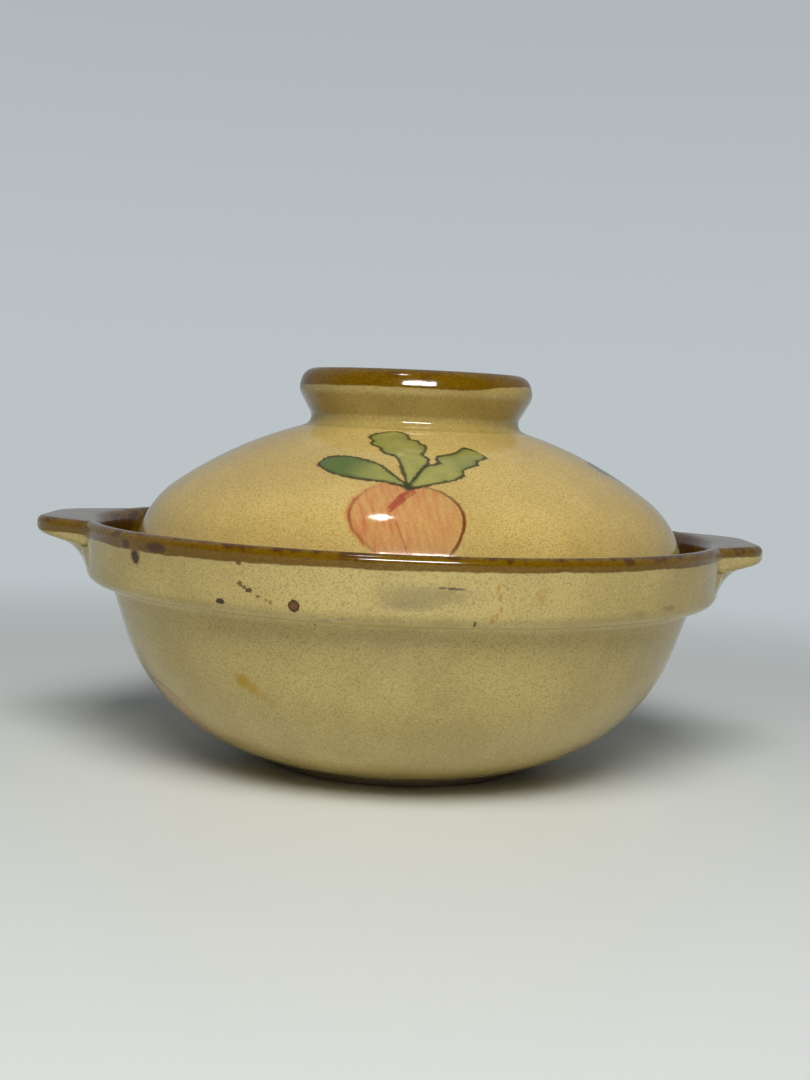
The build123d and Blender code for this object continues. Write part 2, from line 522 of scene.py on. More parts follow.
def build_speckled_glaze(w: Wires, given: dict) -> dict:
    """Clouded two-tone glaze with fine dark specks, pale grains and a few iron pinpricks.

    Args:
        w: the group's wiring.
        given: its inputs by name.

    Returns:
        Its outputs by name.
    """
    place = given["Place"]
    clouds = w.rise(w.noise(place, 0.035, 3.0, 0.55), 0.33, 0.67)
    colour = w.mix(clouds, given["Light"], given["Deep"])
    specks = w.times(w.rise(w.noise(place, 1.7, 3.0, 0.62), 0.46, 0.66), 0.62)
    colour = w.mix(specks, colour, given["Speck"])
    elsewhere = w.vector("ADD", place, (31.0, 7.0, 12.0))
    pale = w.times(w.rise(w.noise(elsewhere, 0.9, 2.0), 0.55, 0.75), 0.28)
    colour = w.mix(pale, colour, given["Pale"])
    cells = w.node("ShaderNodeTexVoronoi", feeds={"Vector": place, "Scale": 0.16}).outputs["Distance"]
    pricks = w.times(w.rise(cells, 0.075, 0.03), w.rise(w.noise(place, 0.05, 1.0), 0.52, 0.62))
    colour = w.mix(w.times(pricks, 0.75), colour, given["Speck"])
    swell = w.noise(place, 0.12, 2.0)
    fine = w.times(w.noise(place, 0.75, 2.0), 0.12)
    height = w.less(w.plus(swell, fine), w.times(pricks, 0.3))
    return {"Color": colour, "Height": height}


SPECKLED_GLAZE = Effect(
    "speckled_glaze",
    {"Place": VECTOR, "Light": COLOUR, "Deep": COLOUR, "Speck": COLOUR, "Pale": COLOUR},
    {"Color": COLOUR, "Height": FLOAT},
    build_speckled_glaze,
)


AMBER = (0.185, 0.098, 0.002, 1)
AMBER_DEEP = (0.120, 0.060, 0.0015, 1)
AMBER_PATCH = (0.09, 0.03, 0.003, 1)
AMBER_EDGE = (0.07, 0.024, 0.003, 1)


def build_amber_glaze(w: Wires, given: dict) -> dict:
    """Iron-brown glaze: mottled amber that goes dark red-brown where it breaks over an edge.

    Args:
        w: the group's wiring.
        given: its inputs by name.

    Returns:
        Its outputs by name.
    """
    place = given["Place"]
    lying = w.vector("MULTIPLY", place, (1.0, 1.0, 2.2))
    mottle = w.rise(w.noise(lying, 0.8, 4.0, 0.6), 0.34, 0.70)
    colour = w.mix(mottle, AMBER, AMBER_DEEP)
    patches = w.noise(place, 0.11, 3.0, 0.6)
    colour = w.mix(w.times(w.rise(patches, 0.54, 0.68), 0.3), colour, AMBER_PATCH)
    reach = w.between(w.rise(patches, 0.42, 0.62), 0.8, 4.2)
    edge = w.rise(given["Run"], reach, w.less(reach, 2.2))
    return {"Color": w.mix(w.times(edge, given["Edge"]), colour, AMBER_EDGE)}


AMBER_GLAZE = Effect(
    "amber_glaze",
    {"Place": VECTOR, "Run": FLOAT, "Edge": FLOAT},
    {"Color": COLOUR},
    build_amber_glaze,
)


def build_dipped_band(w: Wires, given: dict) -> dict:
    """Mask of a dipped band, with an uneven lower edge of long waves and small scallops.

    Args:
        w: the group's wiring.
        given: its inputs by name.

    Returns:
        Its outputs by name.
    """
    waves = w.times(w.swing(given["Place"], 0.035, 1.0), 1.7)
    scallops = w.times(w.swing(given["Place"], 0.33, 2.0), 0.8)
    lower = w.plus(given["Width"], w.plus(waves, scallops))
    return {"Mask": w.rise(given["Run"], w.plus(lower, 0.3), w.less(lower, 0.25))}


DIPPED_BAND = Effect(
    "dipped_band",
    {"Place": VECTOR, "Run": FLOAT, "Width": FLOAT},
    {"Mask": FLOAT},
    build_dipped_band,
)


def build_glaze_spot(w: Wires, given: dict) -> dict:
    """Ragged round spot on a flat sheet of coordinates: 1 inside, fading over its edge, and its dark edge.

    Args:
        w: the group's wiring.
        given: its inputs by name.

    Returns:
        Its outputs by name.
    """
    sheet = given["Sheet"]
    wobble = w.times(w.swing(sheet, 1.1, 3.0, 0.65), w.times(given["Ragged"], 1.9))
    offset = w.vector("DIVIDE", w.vector("SUBTRACT", sheet, given["Centre"]), given["Half Size"])
    reach = w.plus(w.vector("LENGTH", offset), wobble)
    soft = w.plus(given["Soft"], 0.02)
    mask = w.rise(reach, w.plus(1.0, soft), w.less(1.0, soft))
    edge = w.times(w.rise(reach, 0.45, 0.85), mask)
    return {"Mask": mask, "Edge": edge}


GLAZE_SPOT = Effect(
    "glaze_spot",
    {"Sheet": VECTOR, "Centre": VECTOR, "Half Size": VECTOR, "Ragged": FLOAT, "Soft": FLOAT},
    {"Mask": FLOAT, "Edge": FLOAT},
    build_glaze_spot,
)


def build_brush_stroke(w: Wires, given: dict) -> dict:
    """Mask of a straight brush stroke between two places, thinner at its end.

    A place counts by its distance from the nearest one on the line, at a share of the line's length of
    (offset dot way) / (way dot way), kept within 0 and 1.

    Args:
        w: the group's wiring.
        given: its inputs by name.

    Returns:
        Its outputs by name.
    """
    way = w.vector("SUBTRACT", given["To"], given["From"])
    offset = w.vector("SUBTRACT", given["Sheet"], given["From"])
    along, whole = w.vector("DOT_PRODUCT", offset, way), w.vector("DOT_PRODUCT", way, way)
    share = w.math("DIVIDE", along, whole, clamp=True)
    gap = w.vector("DISTANCE", offset, w.scaled(way, share))
    ragged = w.times(w.swing(given["Sheet"], 0.8, 2.0), 0.7)
    width = w.plus(given["Half Width"], w.times(ragged, given["Half Width"]))
    width = w.times(width, w.between(share, 1.1, given["End Share"]))
    return {"Mask": w.rise(gap, w.times(width, 1.35), w.times(width, 0.6))}


BRUSH_STROKE = Effect(
    "brush_stroke",
    {"Sheet": VECTOR, "From": VECTOR, "To": VECTOR, "Half Width": FLOAT, "End Share": FLOAT},
    {"Mask": FLOAT},
    build_brush_stroke,
)


@dataclass(frozen=True)
class Leaf:
    """A painted leaf: where its tip lies from the stalk's foot, and its half widths along both sides."""
    length: float
    turn_deg: float
    left: tuple
    right: tuple
    dark_share: float
    width_scale: float = 10.0
    steepest: float = 2.6
    end_share: float = 0.02

    def sides(self, w: Wires, sheet: object) -> tuple:
        """Distance inside the leaf's outline, and the place along it.

        On each side it is the half width less the distance across, over the root of one plus the slope
        squared, which is kept to the steepest. Near the leaf's ends and past them it is the distance to them.

        Args:
            w: the tree's wiring.
            sheet: millimetres from the stalk's foot, to the right and up.

        Returns:
            The distance in millimetres, and the share of the leaf's length.
        """
        along, across, _ = w.split(w.mapped(sheet, STALK_FOOT, self.turn_deg, (self.length, 1, 1)))
        step = 0.02
        nearest = []
        for sign, widths in ((1.0, self.left), (-1.0, self.right)):
            curve = [(place, width / self.width_scale) for place, width in widths]
            here = w.times(w.curve(along, curve), self.width_scale)
            ahead = w.times(w.curve(w.plus(along, step), curve), self.width_scale)
            slope = w.math("DIVIDE", w.less(ahead, here), step * self.length)
            steep = w.math("SQRT", w.plus(1.0, w.times(slope, slope)))
            side = w.less(here, w.times(across, sign))
            nearest.append(w.math("DIVIDE", side, w.math("MINIMUM", steep, self.steepest)))
        start, end = w.plus(along, self.end_share), w.less(1 + self.end_share, along)
        ends = w.math("MINIMUM", start, end)
        inside = w.math("MINIMUM", *nearest)
        return w.math("MINIMUM", inside, w.times(ends, self.length)), along


STALK_FOOT = (-1.4, 0.0, 0.0)
# Each leaf's length and turn, its left and right half widths by the share of its length, and how dark it gets
LEAVES = (
    Leaf(31.5, 158.9,
         ((0, 0.2), (0.11, 0.3), (0.21, 0.4), (0.33, 1.2), (0.45, 2.3), (0.57, 3.0), (0.68, 3.4), (0.87, 2.9),
          (0.96, 1.8), (1, 0)),
         ((0, 0.6), (0.11, 2.4), (0.22, 4.4), (0.32, 6.2), (0.42, 8.0), (0.52, 8.4), (0.69, 8.7), (0.79, 7.8),
          (0.89, 6.0), (0.97, 3.4), (1, 0)), 1.0),
    Leaf(39.0, 98.8,
         ((0, 0.2), (0.17, 0.3), (0.32, 0.6), (0.43, 1.1), (0.50, 2.8), (0.56, 5.3), (0.62, 5.7), (0.67, 6.8),
          (0.72, 8.2), (0.78, 7.5), (0.84, 8.2), (0.92, 6.4), (0.97, 3.4), (1, 0)),
         ((0, 0.6), (0.06, 2.2), (0.2, 4.8), (0.29, 6.8), (0.38, 8.4), (0.43, 8.3), (0.48, 7.2), (0.55, 8.3),
          (0.61, 8.9), (0.70, 7.6), (0.77, 6.6), (0.81, 4.6), (0.88, 4.6), (0.95, 3.4), (1, 0)), 0.25),
    Leaf(32.0, 40.1,
         ((0, 0.4), (0.15, 2.5), (0.26, 4.3), (0.39, 5.8), (0.47, 4.9), (0.52, 5.4), (0.59, 8.4), (0.68, 8.0),
          (0.76, 7.2), (0.84, 7.5), (0.92, 8.3), (0.97, 6.8), (1, 0)),
         ((0, 0.6), (0.04, 1.5), (0.19, 3.1), (0.34, 4.6), (0.44, 5.7), (0.55, 5.4), (0.62, 3.3), (0.72, 3.0),
          (0.80, 3.1), (0.86, 1.4), (0.93, 1.6), (1, 0)), 0.35),
)

# The turnip's outline as distances from its middle, by degrees anticlockwise from the right
TURNIP_MIDDLE = (-1.3, -14.0, 0.0)
TURNIP_SCALE = 25.0
TURNIP_OUTLINE = (
    (0, 17.1), (17, 16.6), (33, 16.0), (51, 15.5), (70, 14.9), (82, 14.3), (90, 14.0), (98, 15.4),
    (110, 16.7), (128, 16.8), (146, 16.9), (159, 17.2), (181, 17.5), (193, 17.2), (204, 16.5), (215, 15.8),
    (229, 15.2), (250, 15.9), (272, 17.5), (295, 18.1), (320, 17.9), (338, 17.6), (350, 17.4), (360, 17.1),
)
# How strongly the turnip's outline is drawn, by the same degrees
TURNIP_INK = (
    (0, 1.0), (30, 0.85), (60, 0.6), (78, 0.35), (95, 0.1), (130, 0.12), (150, 0.35), (175, 0.62), (205, 0.5),
    (235, 0.25), (270, 0.4), (310, 0.75), (340, 1.0), (360, 1.0),
)
# Red strokes of crown and root: start, end, half width, share of it left at the end, and strength
TURNIP_STROKES = (
    ((-0.2, -1.2, 0), (-3.4, -5.0, 0), 0.85, 1.0, 0.85),
    ((-3.2, -4.8, 0), (-6.3, -10.2, 0), 0.95, 0.9, 0.85),
    ((0.6, -2.6, 0), (-2.6, -6.6, 0), 0.6, 1.0, 0.6),
    ((-2.6, -6.6, 0), (-6.4, -11.9, 0), 0.8, 0.7, 0.75),
    ((-4.6, -16.0, 0), (-1.3, -24.6, 0), 0.32, 0.8, 0.5),
    ((-1.3, -24.6, 0), (0.6, -31.0, 0), 0.32, 0.6, 0.4),
)
TURNIP_RED = (0.60, 0.235, 0.085, 1)
TURNIP_DEEP_RED = (0.50, 0.135, 0.055, 1)
TURNIP_LINE = (0.19, 0.055, 0.012, 1)
STROKE_RED = (0.36, 0.06, 0.025, 1)
LEAF_GREEN = (0.33, 0.34, 0.085, 1)
LEAF_POOLED_GREEN = (0.22, 0.27, 0.06, 1)
LEAF_DARK_GREEN = (0.05, 0.12, 0.018, 1)
LEAF_LINE = (0.045, 0.038, 0.008, 1)
KNOT_GREEN = (0.035, 0.04, 0.012, 1)


def build_painted_turnip(w: Wires, given: dict) -> dict:
    """A turnip with three leaves in watery brushwork, painted over a base colour.

    The sheet's coordinates are millimetres from the stalk's foot: to the right, and up towards the leaves.

    Args:
        w: the group's wiring.
        given: its inputs by name.

    Returns:
        Its outputs by name.
    """
    sheet = given["Sheet"]
    colour = given["Base"]
    tremble = w.swing(sheet, 0.33, 2.0)
    ripple = w.swing(sheet, 0.75, 1.0)
    offset = w.vector("SUBTRACT", sheet, TURNIP_MIDDLE)
    across, up, _ = w.split(offset)
    angle = w.math("FRACT", w.math("DIVIDE", w.math("ARCTAN2", up, across), 2 * pi))
    outline = w.curve(angle, [(a / 360, r / TURNIP_SCALE) for a, r in TURNIP_OUTLINE])
    inside = w.less(w.times(outline, TURNIP_SCALE), w.vector("LENGTH", offset))
    inside = w.plus(inside, w.times(tremble, 0.8))
    streaks = w.noise(w.vector("MULTIPLY", w.mapped(sheet, (0, 0, 0), 12), (0.5, 0.09, 1.0)), 1.0, 3.0, 0.6)
    wash = w.rise(w.less(inside, w.times(across, 0.06)), -0.9, 0.5)
    side = w.rise(across, 14.0, -12.0)
    strength = w.plus(w.times(w.rise(streaks, 0.3, 0.7), 0.36), 0.42)
    strength = w.times(strength, w.between(side, 0.8, 1.15), clamp=True)
    red = w.mix(w.rise(streaks, 0.35, 0.75), TURNIP_RED, TURNIP_DEEP_RED)
    colour = w.mix(w.times(wash, strength), colour, red)
    ink = w.curve(angle, [(a / 360, k) for a, k in TURNIP_INK])
    pen = w.plus(0.42, w.times(tremble, 0.5))
    line = w.rise(w.math("ABSOLUTE", inside), w.plus(pen, 0.45), w.times(pen, 0.4))
    colour = w.mix(w.times(line, ink), colour, TURNIP_LINE)
    paint = wash
    for start, end, half_width, end_share, strong in TURNIP_STROKES:
        feeds = {"From": start, "To": end, "Half_Width": half_width, "End_Share": end_share}
        stroke = BRUSH_STROKE.use(w, Sheet=sheet, **feeds)
        colour = w.mix(w.times(stroke["Mask"], strong), colour, STROKE_RED)
    for leaf in LEAVES:
        edge, along = leaf.sides(w, sheet)
        edge = w.plus(edge, w.plus(tremble, w.times(ripple, 1.1)))
        fill = w.rise(edge, -0.9, 0.7)
        pool = w.rise(w.noise(sheet, 0.12, 2.0), 0.38, 0.62)
        dark = w.times(w.rise(along, 0.25, 0.75), leaf.dark_share)
        dark = w.plus(dark, w.times(w.rise(edge, 2.6, 0.2), 0.3), clamp=True)
        green = w.mix(dark, w.mix(pool, LEAF_GREEN, LEAF_POOLED_GREEN), LEAF_DARK_GREEN)
        colour = w.mix(w.times(fill, w.between(dark, 0.72, 0.9)), colour, green)
        pen = w.plus(0.6, w.times(tremble, 1.3))
        line = w.rise(w.math("ABSOLUTE", edge), w.plus(pen, 0.35), w.times(pen, 0.35))
        colour = w.mix(w.times(line, 0.92), colour, LEAF_LINE)
        paint = w.math("MAXIMUM", paint, fill)
    knot = w.rise(w.vector("DISTANCE", sheet, STALK_FOOT), 2.6, 0.8)
    return {"Color": w.mix(w.times(knot, 0.85), colour, KNOT_GREEN), "Paint": paint}


PAINTED_TURNIP = Effect(
    "painted_turnip",
    {"Sheet": VECTOR, "Base": COLOUR},
    {"Color": COLOUR, "Paint": FLOAT},
    build_painted_turnip,
)


# Finishes

@dataclass(frozen=True)
class GlazeTones:
    """Colours of the speckled cream glaze."""
    light: Colour = (0.64, 0.465, 0.15, 1)
    deep: Colour = (0.56, 0.40, 0.125, 1)
    speck: Colour = (0.30, 0.20, 0.055, 1)
    pale: Colour = (0.72, 0.60, 0.29, 1)

    def coat(self, w: Wires, place: object) -> tuple:
        """Colour and relief of the speckled glaze in these tones.

        Args:
            w: the material's wiring.
            place: the piece's place in millimetres.

        Returns:
            The colour and the relief.
        """
        feeds = {"Light": self.light, "Deep": self.deep, "Speck": self.speck, "Pale": self.pale}
        cream = SPECKLED_GLAZE.use(w, Place=place, **feeds)
        return cream["Color"], cream["Height"]


@dataclass(frozen=True)
class Spot:
    """A mark on the pot's outside, by azimuth and height: most are flaws and stains in the glaze, two are a
    painted reflection.
    """
    azimuth_deg: float
    height: float
    half_width: float
    half_height: float
    colour: Colour
    strong: float = 0.9
    ragged: float = 0.5
    soft: float = 0.15
    edge: float = 0.0
    relief: float = 0.0

    def over(self, w: Wires, sheet: object, outside: object, colour: object, relief: object) -> tuple:
        """Adds the mark to a glaze.

        Args:
            w: the material's wiring.
            sheet: azimuth times the sheet's radius, and height.
            outside: mask of the pot's outside.
            colour: the glaze's colour.
            relief: its relief, which the mark may lie below.

        Returns:
            The new colour and relief.
        """
        centre = (radians(self.azimuth_deg) * SHEET_RADIUS, self.height, 0.0)
        size = (self.half_width, self.half_height, 1.0)
        feeds = {"Centre": centre, "Half_Size": size, "Ragged": self.ragged, "Soft": self.soft}
        found = GLAZE_SPOT.use(w, Sheet=sheet, **feeds)
        mask = w.times(w.times(found["Mask"], outside), self.strong)
        colour = w.mix(mask, colour, self.colour)
        if self.edge:
            edge = w.times(w.times(found["Edge"], outside), self.edge)
            colour = w.mix(edge, colour, BLACK_BROWN)
        if self.relief:
            relief = w.less(relief, w.times(found["Mask"], self.relief))
        return colour, relief


RIM_BROWN = (0.06, 0.018, 0.005, 1)
RED_BROWN = (0.10, 0.032, 0.006, 1)
BLACK_BROWN = (0.028, 0.014, 0.006, 1)
OCHRE = (0.42, 0.235, 0.03, 1)
PALE_OCHRE = (0.48, 0.30, 0.05, 1)
GREY_BROWN = (0.20, 0.165, 0.10, 1)
# Each mark's azimuth, height, half width, half height, colour, strength, raggedness and softness
SPOTS = (
    Spot(-47.3, 75.8, 2.7, 2.9, (0.21, 0.09, 0.01, 1), 0.7, 0.4, 0.3),
    Spot(-47.3, 75.2, 1.9, 2.1, (0.035, 0.012, 0.004, 1), 0.95, 0.3, 0.15, relief=0.5),
    Spot(-41.7, 79.0, 4.5, 1.5, RIM_BROWN, 0.85, 0.6, 0.3),
    Spot(-49.7, 78.9, 2.0, 1.3, RIM_BROWN, 0.8, 0.6, 0.3),
    Spot(-25.1, 77.3, 0.9, 0.7, RED_BROWN, 0.8, 0.4),
    Spot(-28.7, 65.3, 1.5, 0.85, BLACK_BROWN, 0.95, 0.7, 0.12, relief=0.6),
    Spot(-25.0, 71.2, 0.8, 0.7, (0.15, 0.08, 0.02, 1), 0.8, 0.9, 0.1, edge=0.8, relief=0.4),
    Spot(-24.3, 70.2, 0.6, 0.5, (0.12, 0.06, 0.02, 1), 0.8, 0.9, 0.1, edge=0.8),
    Spot(-23.5, 69.5, 1.1, 0.7, (0.07, 0.03, 0.01, 1), 0.9, 0.8, 0.1, relief=0.4),
    Spot(-22.0, 67.9, 0.7, 0.5, (0.13, 0.07, 0.02, 1), 0.8, 0.9, 0.1),
    Spot(-20.6, 67.0, 0.5, 0.5, (0.20, 0.12, 0.03, 1), 0.7, 0.9, 0.2),
    Spot(-19.9, 66.5, 0.5, 0.6, (0.16, 0.08, 0.02, 1), 0.7, 0.8, 0.2),
    Spot(-16.1, 66.0, 1.8, 1.75, (0.13, 0.04, 0.007, 1), 0.95, 0.45, 0.1, edge=0.7, relief=0.7),
    Spot(-11.7, 62.2, 2.6, 0.3, GREY_BROWN, 0.6, 0.9, 0.4),
    Spot(-8.7, 62.9, 1.4, 0.3, GREY_BROWN, 0.5, 0.9, 0.4),
    Spot(6.1, 73.5, 1.3, 0.3, BLACK_BROWN, 0.75, 0.8, 0.3, relief=0.4),
    Spot(7.6, 73.4, 1.8, 0.4, BLACK_BROWN, 0.8, 0.9, 0.3, relief=0.5),
    Spot(8.9, 73.3, 1.2, 0.3, BLACK_BROWN, 0.7, 0.8, 0.3, relief=0.4),
    Spot(6.5, 72.0, 1.9, 1.2, OCHRE, 0.25, 0.9, 0.6),
    Spot(11.5, 63.0, 0.45, 1.0, (0.06, 0.03, 0.01, 1), 0.85, 0.5, 0.2),
    Spot(14.6, 73.9, 0.45, 1.2, OCHRE, 0.7, 0.8, 0.4),
    Spot(15.0, 71.2, 0.6, 1.2, OCHRE, 0.7, 0.8, 0.4),
    Spot(15.3, 67.4, 0.45, 1.0, OCHRE, 0.7, 0.8, 0.4),
    Spot(14.7, 65.6, 0.55, 1.1, OCHRE, 0.75, 0.8, 0.4),
    Spot(14.1, 64.2, 0.7, 0.8, OCHRE, 0.75, 0.8, 0.4),
    Spot(20.9, 72.2, 0.8, 1.1, OCHRE, 0.45, 0.9, 0.5),
    Spot(21.7, 70.8, 1.0, 1.3, OCHRE, 0.5, 0.9, 0.5),
    Spot(41.3, 65.2, 3.0, 1.0, (0.30, 0.19, 0.05, 1), 0.5, 0.8, 0.6),
    Spot(48.8, 66.2, 3.4, 0.8, (0.24, 0.14, 0.035, 1), 0.6, 0.8, 0.5),
    Spot(-29.9, 39.2, 2.9, 2.2, (0.42, 0.265, 0.012, 1), 0.95, 0.6, 0.5),
    Spot(-28.0, 37.2, 2.4, 1.8, (0.43, 0.275, 0.015, 1), 0.85, 0.7, 0.6),
    Spot(-26.0, 35.1, 2.3, 1.5, PALE_OCHRE, 0.6, 0.8, 0.6),
    Spot(-24.3, 32.9, 1.6, 1.6, PALE_OCHRE, 0.5, 0.8, 0.7),
    # Painted reflection: two soft grey-brown patches on the collar's front, the camera mirrored in the glaze
    Spot(3.8, 71.2, 12.0, 2.6, (0.18, 0.145, 0.07, 1), 0.5, 0.7, 0.8),
    Spot(1.3, 68.2, 7.0, 1.6, (0.16, 0.13, 0.065, 1), 0.45, 0.6, 0.7),
    Spot(-14.1, 59.8, 0.4, 0.4, (0.10, 0.05, 0.02, 1), 0.7, 0.6),
)
# Radius at which azimuths on the pot's outside turn to millimetres on the spots' sheet
SHEET_RADIUS = 110.0
# Depth of the glaze's relief, and how far the dipped band and the paint stand up, in shares of it
RELIEF_DEPTH_M = 0.00012
BAND_RELIEF = 0.9
PAINT_RELIEF = 0.12
# Least run that the amber's dark edge is worked out for
BREAK_RUN = 0.6
GLAZE_IOR = 1.43
# Unglazed clay, darker than its own colour: painted shade of the dark gap under the foot
CLAY_SHADED_PALE = (0.26, 0.20, 0.135, 1)
CLAY_SHADED_DEEP = (0.20, 0.145, 0.09, 1)
CLAY_ROUGH = 0.85


def new_material(name: str) -> tuple[bpy.types.Material, Wires, bpy.types.Node]:
    """A material with nodes, its wiring and its shader.

    Args:
        name: the material's name.

    Returns:
        The material, the wiring of its tree and its Principled shader.
    """
    material = bpy.data.materials.new(name)
    material.use_nodes = True
    shader = material.node_tree.nodes["Principled BSDF"]
    return material, Wires(material.node_tree), shader


def glaze_over(w: Wires, shader: bpy.types.Node, colour: object, relief: object, rough: object) -> None:
    """Feeds a glossy glaze shader.

    Args:
        w: the material's wiring.
        shader: its Principled shader.
        colour: the glaze's colour.
        relief: its height, as a share of the relief's depth.
        rough: its roughness.
    """
    w.join(shader.inputs["Base Color"], colour)
    w.join(shader.inputs["Roughness"], rough)
    bump = w.node("ShaderNodeBump", feeds={"Height": relief, "Distance": RELIEF_DEPTH_M, "Strength": 1.0})
    w.join(shader.inputs["Normal"], bump.outputs[0])
    shader.inputs["IOR"].default_value = GLAZE_IOR


def with_shaded_bare_clay(w: Wires, place: object, bare: object, colour: object, rough: object) -> tuple:
    """Colour and roughness with unglazed clay where a mask says so, its tone darkened by painted shade."""
    clay = w.mix(w.noise(place, 0.5, 4.0, 0.7), CLAY_SHADED_PALE, CLAY_SHADED_DEEP)
    return w.mix(bare, colour, clay), w.between(bare, rough, CLAY_ROUGH)


@dataclass(frozen=True)
class Dip:
    """A piece's dip in the amber glaze.

    Its run is the distance from where the band starts, its edge_dark how dark the glaze goes where it breaks
    over an edge, and its inside a mask of what is amber past the band.
    """
    run: object
    width: object
    edge_dark: float
    inside: object = 0.0

    def over(self, w: Wires, place: object, colour: object, relief: object) -> tuple:
        """Lays the amber glaze over a coat.

        Args:
            w: the material's wiring.
            place: the piece's place in millimetres.
            colour: the coat's colour.
            relief: its relief, which the band stands above.

        Returns:
            The new colour and relief.
        """
        band = DIPPED_BAND.use(w, Place=place, Run=self.run, Width=self.width)["Mask"]
        run = w.math("MAXIMUM", self.run, BREAK_RUN)
        amber = AMBER_GLAZE.use(w, Place=place, Run=run, Edge=self.edge_dark)
        colour = w.mix(w.math("MAXIMUM", band, self.inside), colour, amber["Color"])
        return colour, w.plus(relief, w.times(band, BAND_RELIEF))


POT_TONES = GlazeTones(
    light=(0.56, 0.435, 0.155, 1),
    deep=(0.47, 0.36, 0.125, 1),
    speck=(0.27, 0.19, 0.06, 1),
    pale=(0.66, 0.56, 0.28, 1),
)


@dataclass(frozen=True)
class PotGlaze:
    """The pot's finish: cream outside, amber-brown rim and inside, spots, a painted turnip on two sides."""
    tones: GlazeTones = POT_TONES
    rough: float = 0.115
    edge_dark: float = 0.8
    band_width: float = 5.8
    band_slant: float = 0.9
    motif_azimuth_deg: float = -64.0
    motif_radius: float = 88.0
    motif_strength: float = 0.6
    motif_turn_deg: float = 96.0
    spots_start: float = 0.5
    spots_full: float = 2.5

    def material(self, motif_run: float) -> bpy.types.Material:
        """Builds the finish.

        Args:
            motif_run: distance of the bowl's painting from the rim, down the outside.

        Returns:
            The material.
        """
        material, w, shader = new_material("cream_glaze_pot")
        place = w.place_mm()
        turned_place = TURNED_PLACE.use(w, Place=place)
        run, inside, bare = w.mark("run"), w.mark("inside"), w.mark("bare")
        azimuth = turned_place["Azimuth"]
        colour, relief = self.tones.coat(w, place)
        colour = self.with_motif(w, azimuth, run, colour, motif_run)
        sheet = w.combine(w.times(azimuth, SHEET_RADIUS), turned_place["Height"])
        outside = w.rise(run, self.spots_start, self.spots_full)
        slant = w.times(w.math("SINE", azimuth), self.band_slant)
        dip = Dip(run, w.less(self.band_width, slant), self.edge_dark, inside)
        colour, relief = dip.over(w, place, colour, relief)
        for spot in SPOTS:
            colour, relief = spot.over(w, sheet, outside, colour, relief)
        colour, rough = with_shaded_bare_clay(w, place, bare, colour, self.rough)
        glaze_over(w, shader, colour, relief, rough)
        return material

    def with_motif(self, w: Wires, azimuth: object, run: object, base: object, motif_run: float) -> object:
        """Paints the turnip on the bowl's left and once more on the far side.

        Args:
            w: the material's wiring.
            azimuth: angle from the front, positive to the right.
            run: distance from the rim, down the outside.
            base: the colour to paint over.
            motif_run: the painting's own distance from the rim.

        Returns:
            The painted colour.
        """
        turn = w.math("DIVIDE", w.less(azimuth, radians(self.motif_azimuth_deg)), pi)
        folded = w.times(w.less(turn, w.math("ROUND", turn)), pi * self.motif_radius)
        sheet = w.combine(folded, w.less(motif_run, run))
        sheet = w.mapped(sheet, (0, 0, 0), self.motif_turn_deg)
        painted = PAINTED_TURNIP.use(w, Sheet=w.vector("ADD", sheet, TURNIP_MIDDLE), Base=base)["Color"]
        return w.mix(self.motif_strength, base, painted)


class Side(Enum):
    """Which handle, as seen from the painted front."""
    LEFT = "left"
    RIGHT = "right"


@dataclass(frozen=True)
class HandleGlaze:
    """The handles' finish: amber-brown on top and down the edge, cream below."""
    tones: GlazeTones = POT_TONES
    rough: float = 0.115
    edge_dark: float = 0.75
    left_depth: float = 4.7
    right_depth: float = 3.2

    def material(self, side: Side, top: float) -> bpy.types.Material:
        """Builds the finish.

        Args:
            side: which handle.
            top: height of its top, from which the dipped band is measured down.

        Returns:
            The material.
        """
        material, w, shader = new_material("handle_glaze_" + side.value)
        place = w.place_mm()
        depth = w.less(top, w.split(place)[2])
        width = self.left_depth if side is Side.LEFT else self.right_depth
        colour, relief = Dip(depth, width, self.edge_dark).over(w, place, *self.tones.coat(w, place))
        glaze_over(w, shader, colour, relief, self.rough)
        return material


@dataclass(frozen=True)
class LidGlaze:
    """The dome's finish: cream with three painted turnips, bare clay on its foot."""
    tones: GlazeTones = GlazeTones()
    rough: float = 0.10
    shift_x: float = 2.2
    stalk_run: float = 80.4
    second_deg: float = 98.0
    third_deg: float = -131.0

    def material(self) -> bpy.types.Material:
        """Builds the finish.

        Returns:
            The material.
        """
        material, w, shader = new_material("lid_glaze_dome")
        place = w.mapped(w.place_mm(), (self.shift_x, 0, 0))
        turned_place = TURNED_PLACE.use(w, Place=place)
        run, inside, bare = w.mark("run"), w.mark("inside"), w.mark("bare")
        cream, height = self.tones.coat(w, place)
        azimuth = turned_place["Azimuth"]
        past_second = w.math("GREATER_THAN", azimuth, radians(self.second_deg / 2))
        past_third = w.math("LESS_THAN", azimuth, radians(self.third_deg / 2))
        middle = w.plus(w.times(past_second, radians(self.second_deg)),
                        w.times(past_third, radians(self.third_deg)))
        across = w.times(w.less(azimuth, middle), turned_place["Radius"])
        sheet = w.combine(across, w.less(self.stalk_run, run))
        painted = PAINTED_TURNIP.use(w, Sheet=sheet, Base=cream)
        colour = w.mix(inside, painted["Color"], cream)
        relief = w.plus(height, w.times(painted["Paint"], PAINT_RELIEF))
        colour, rough = with_shaded_bare_clay(w, place, bare, colour, self.rough)
        glaze_over(w, shader, colour, relief, rough)
        return material


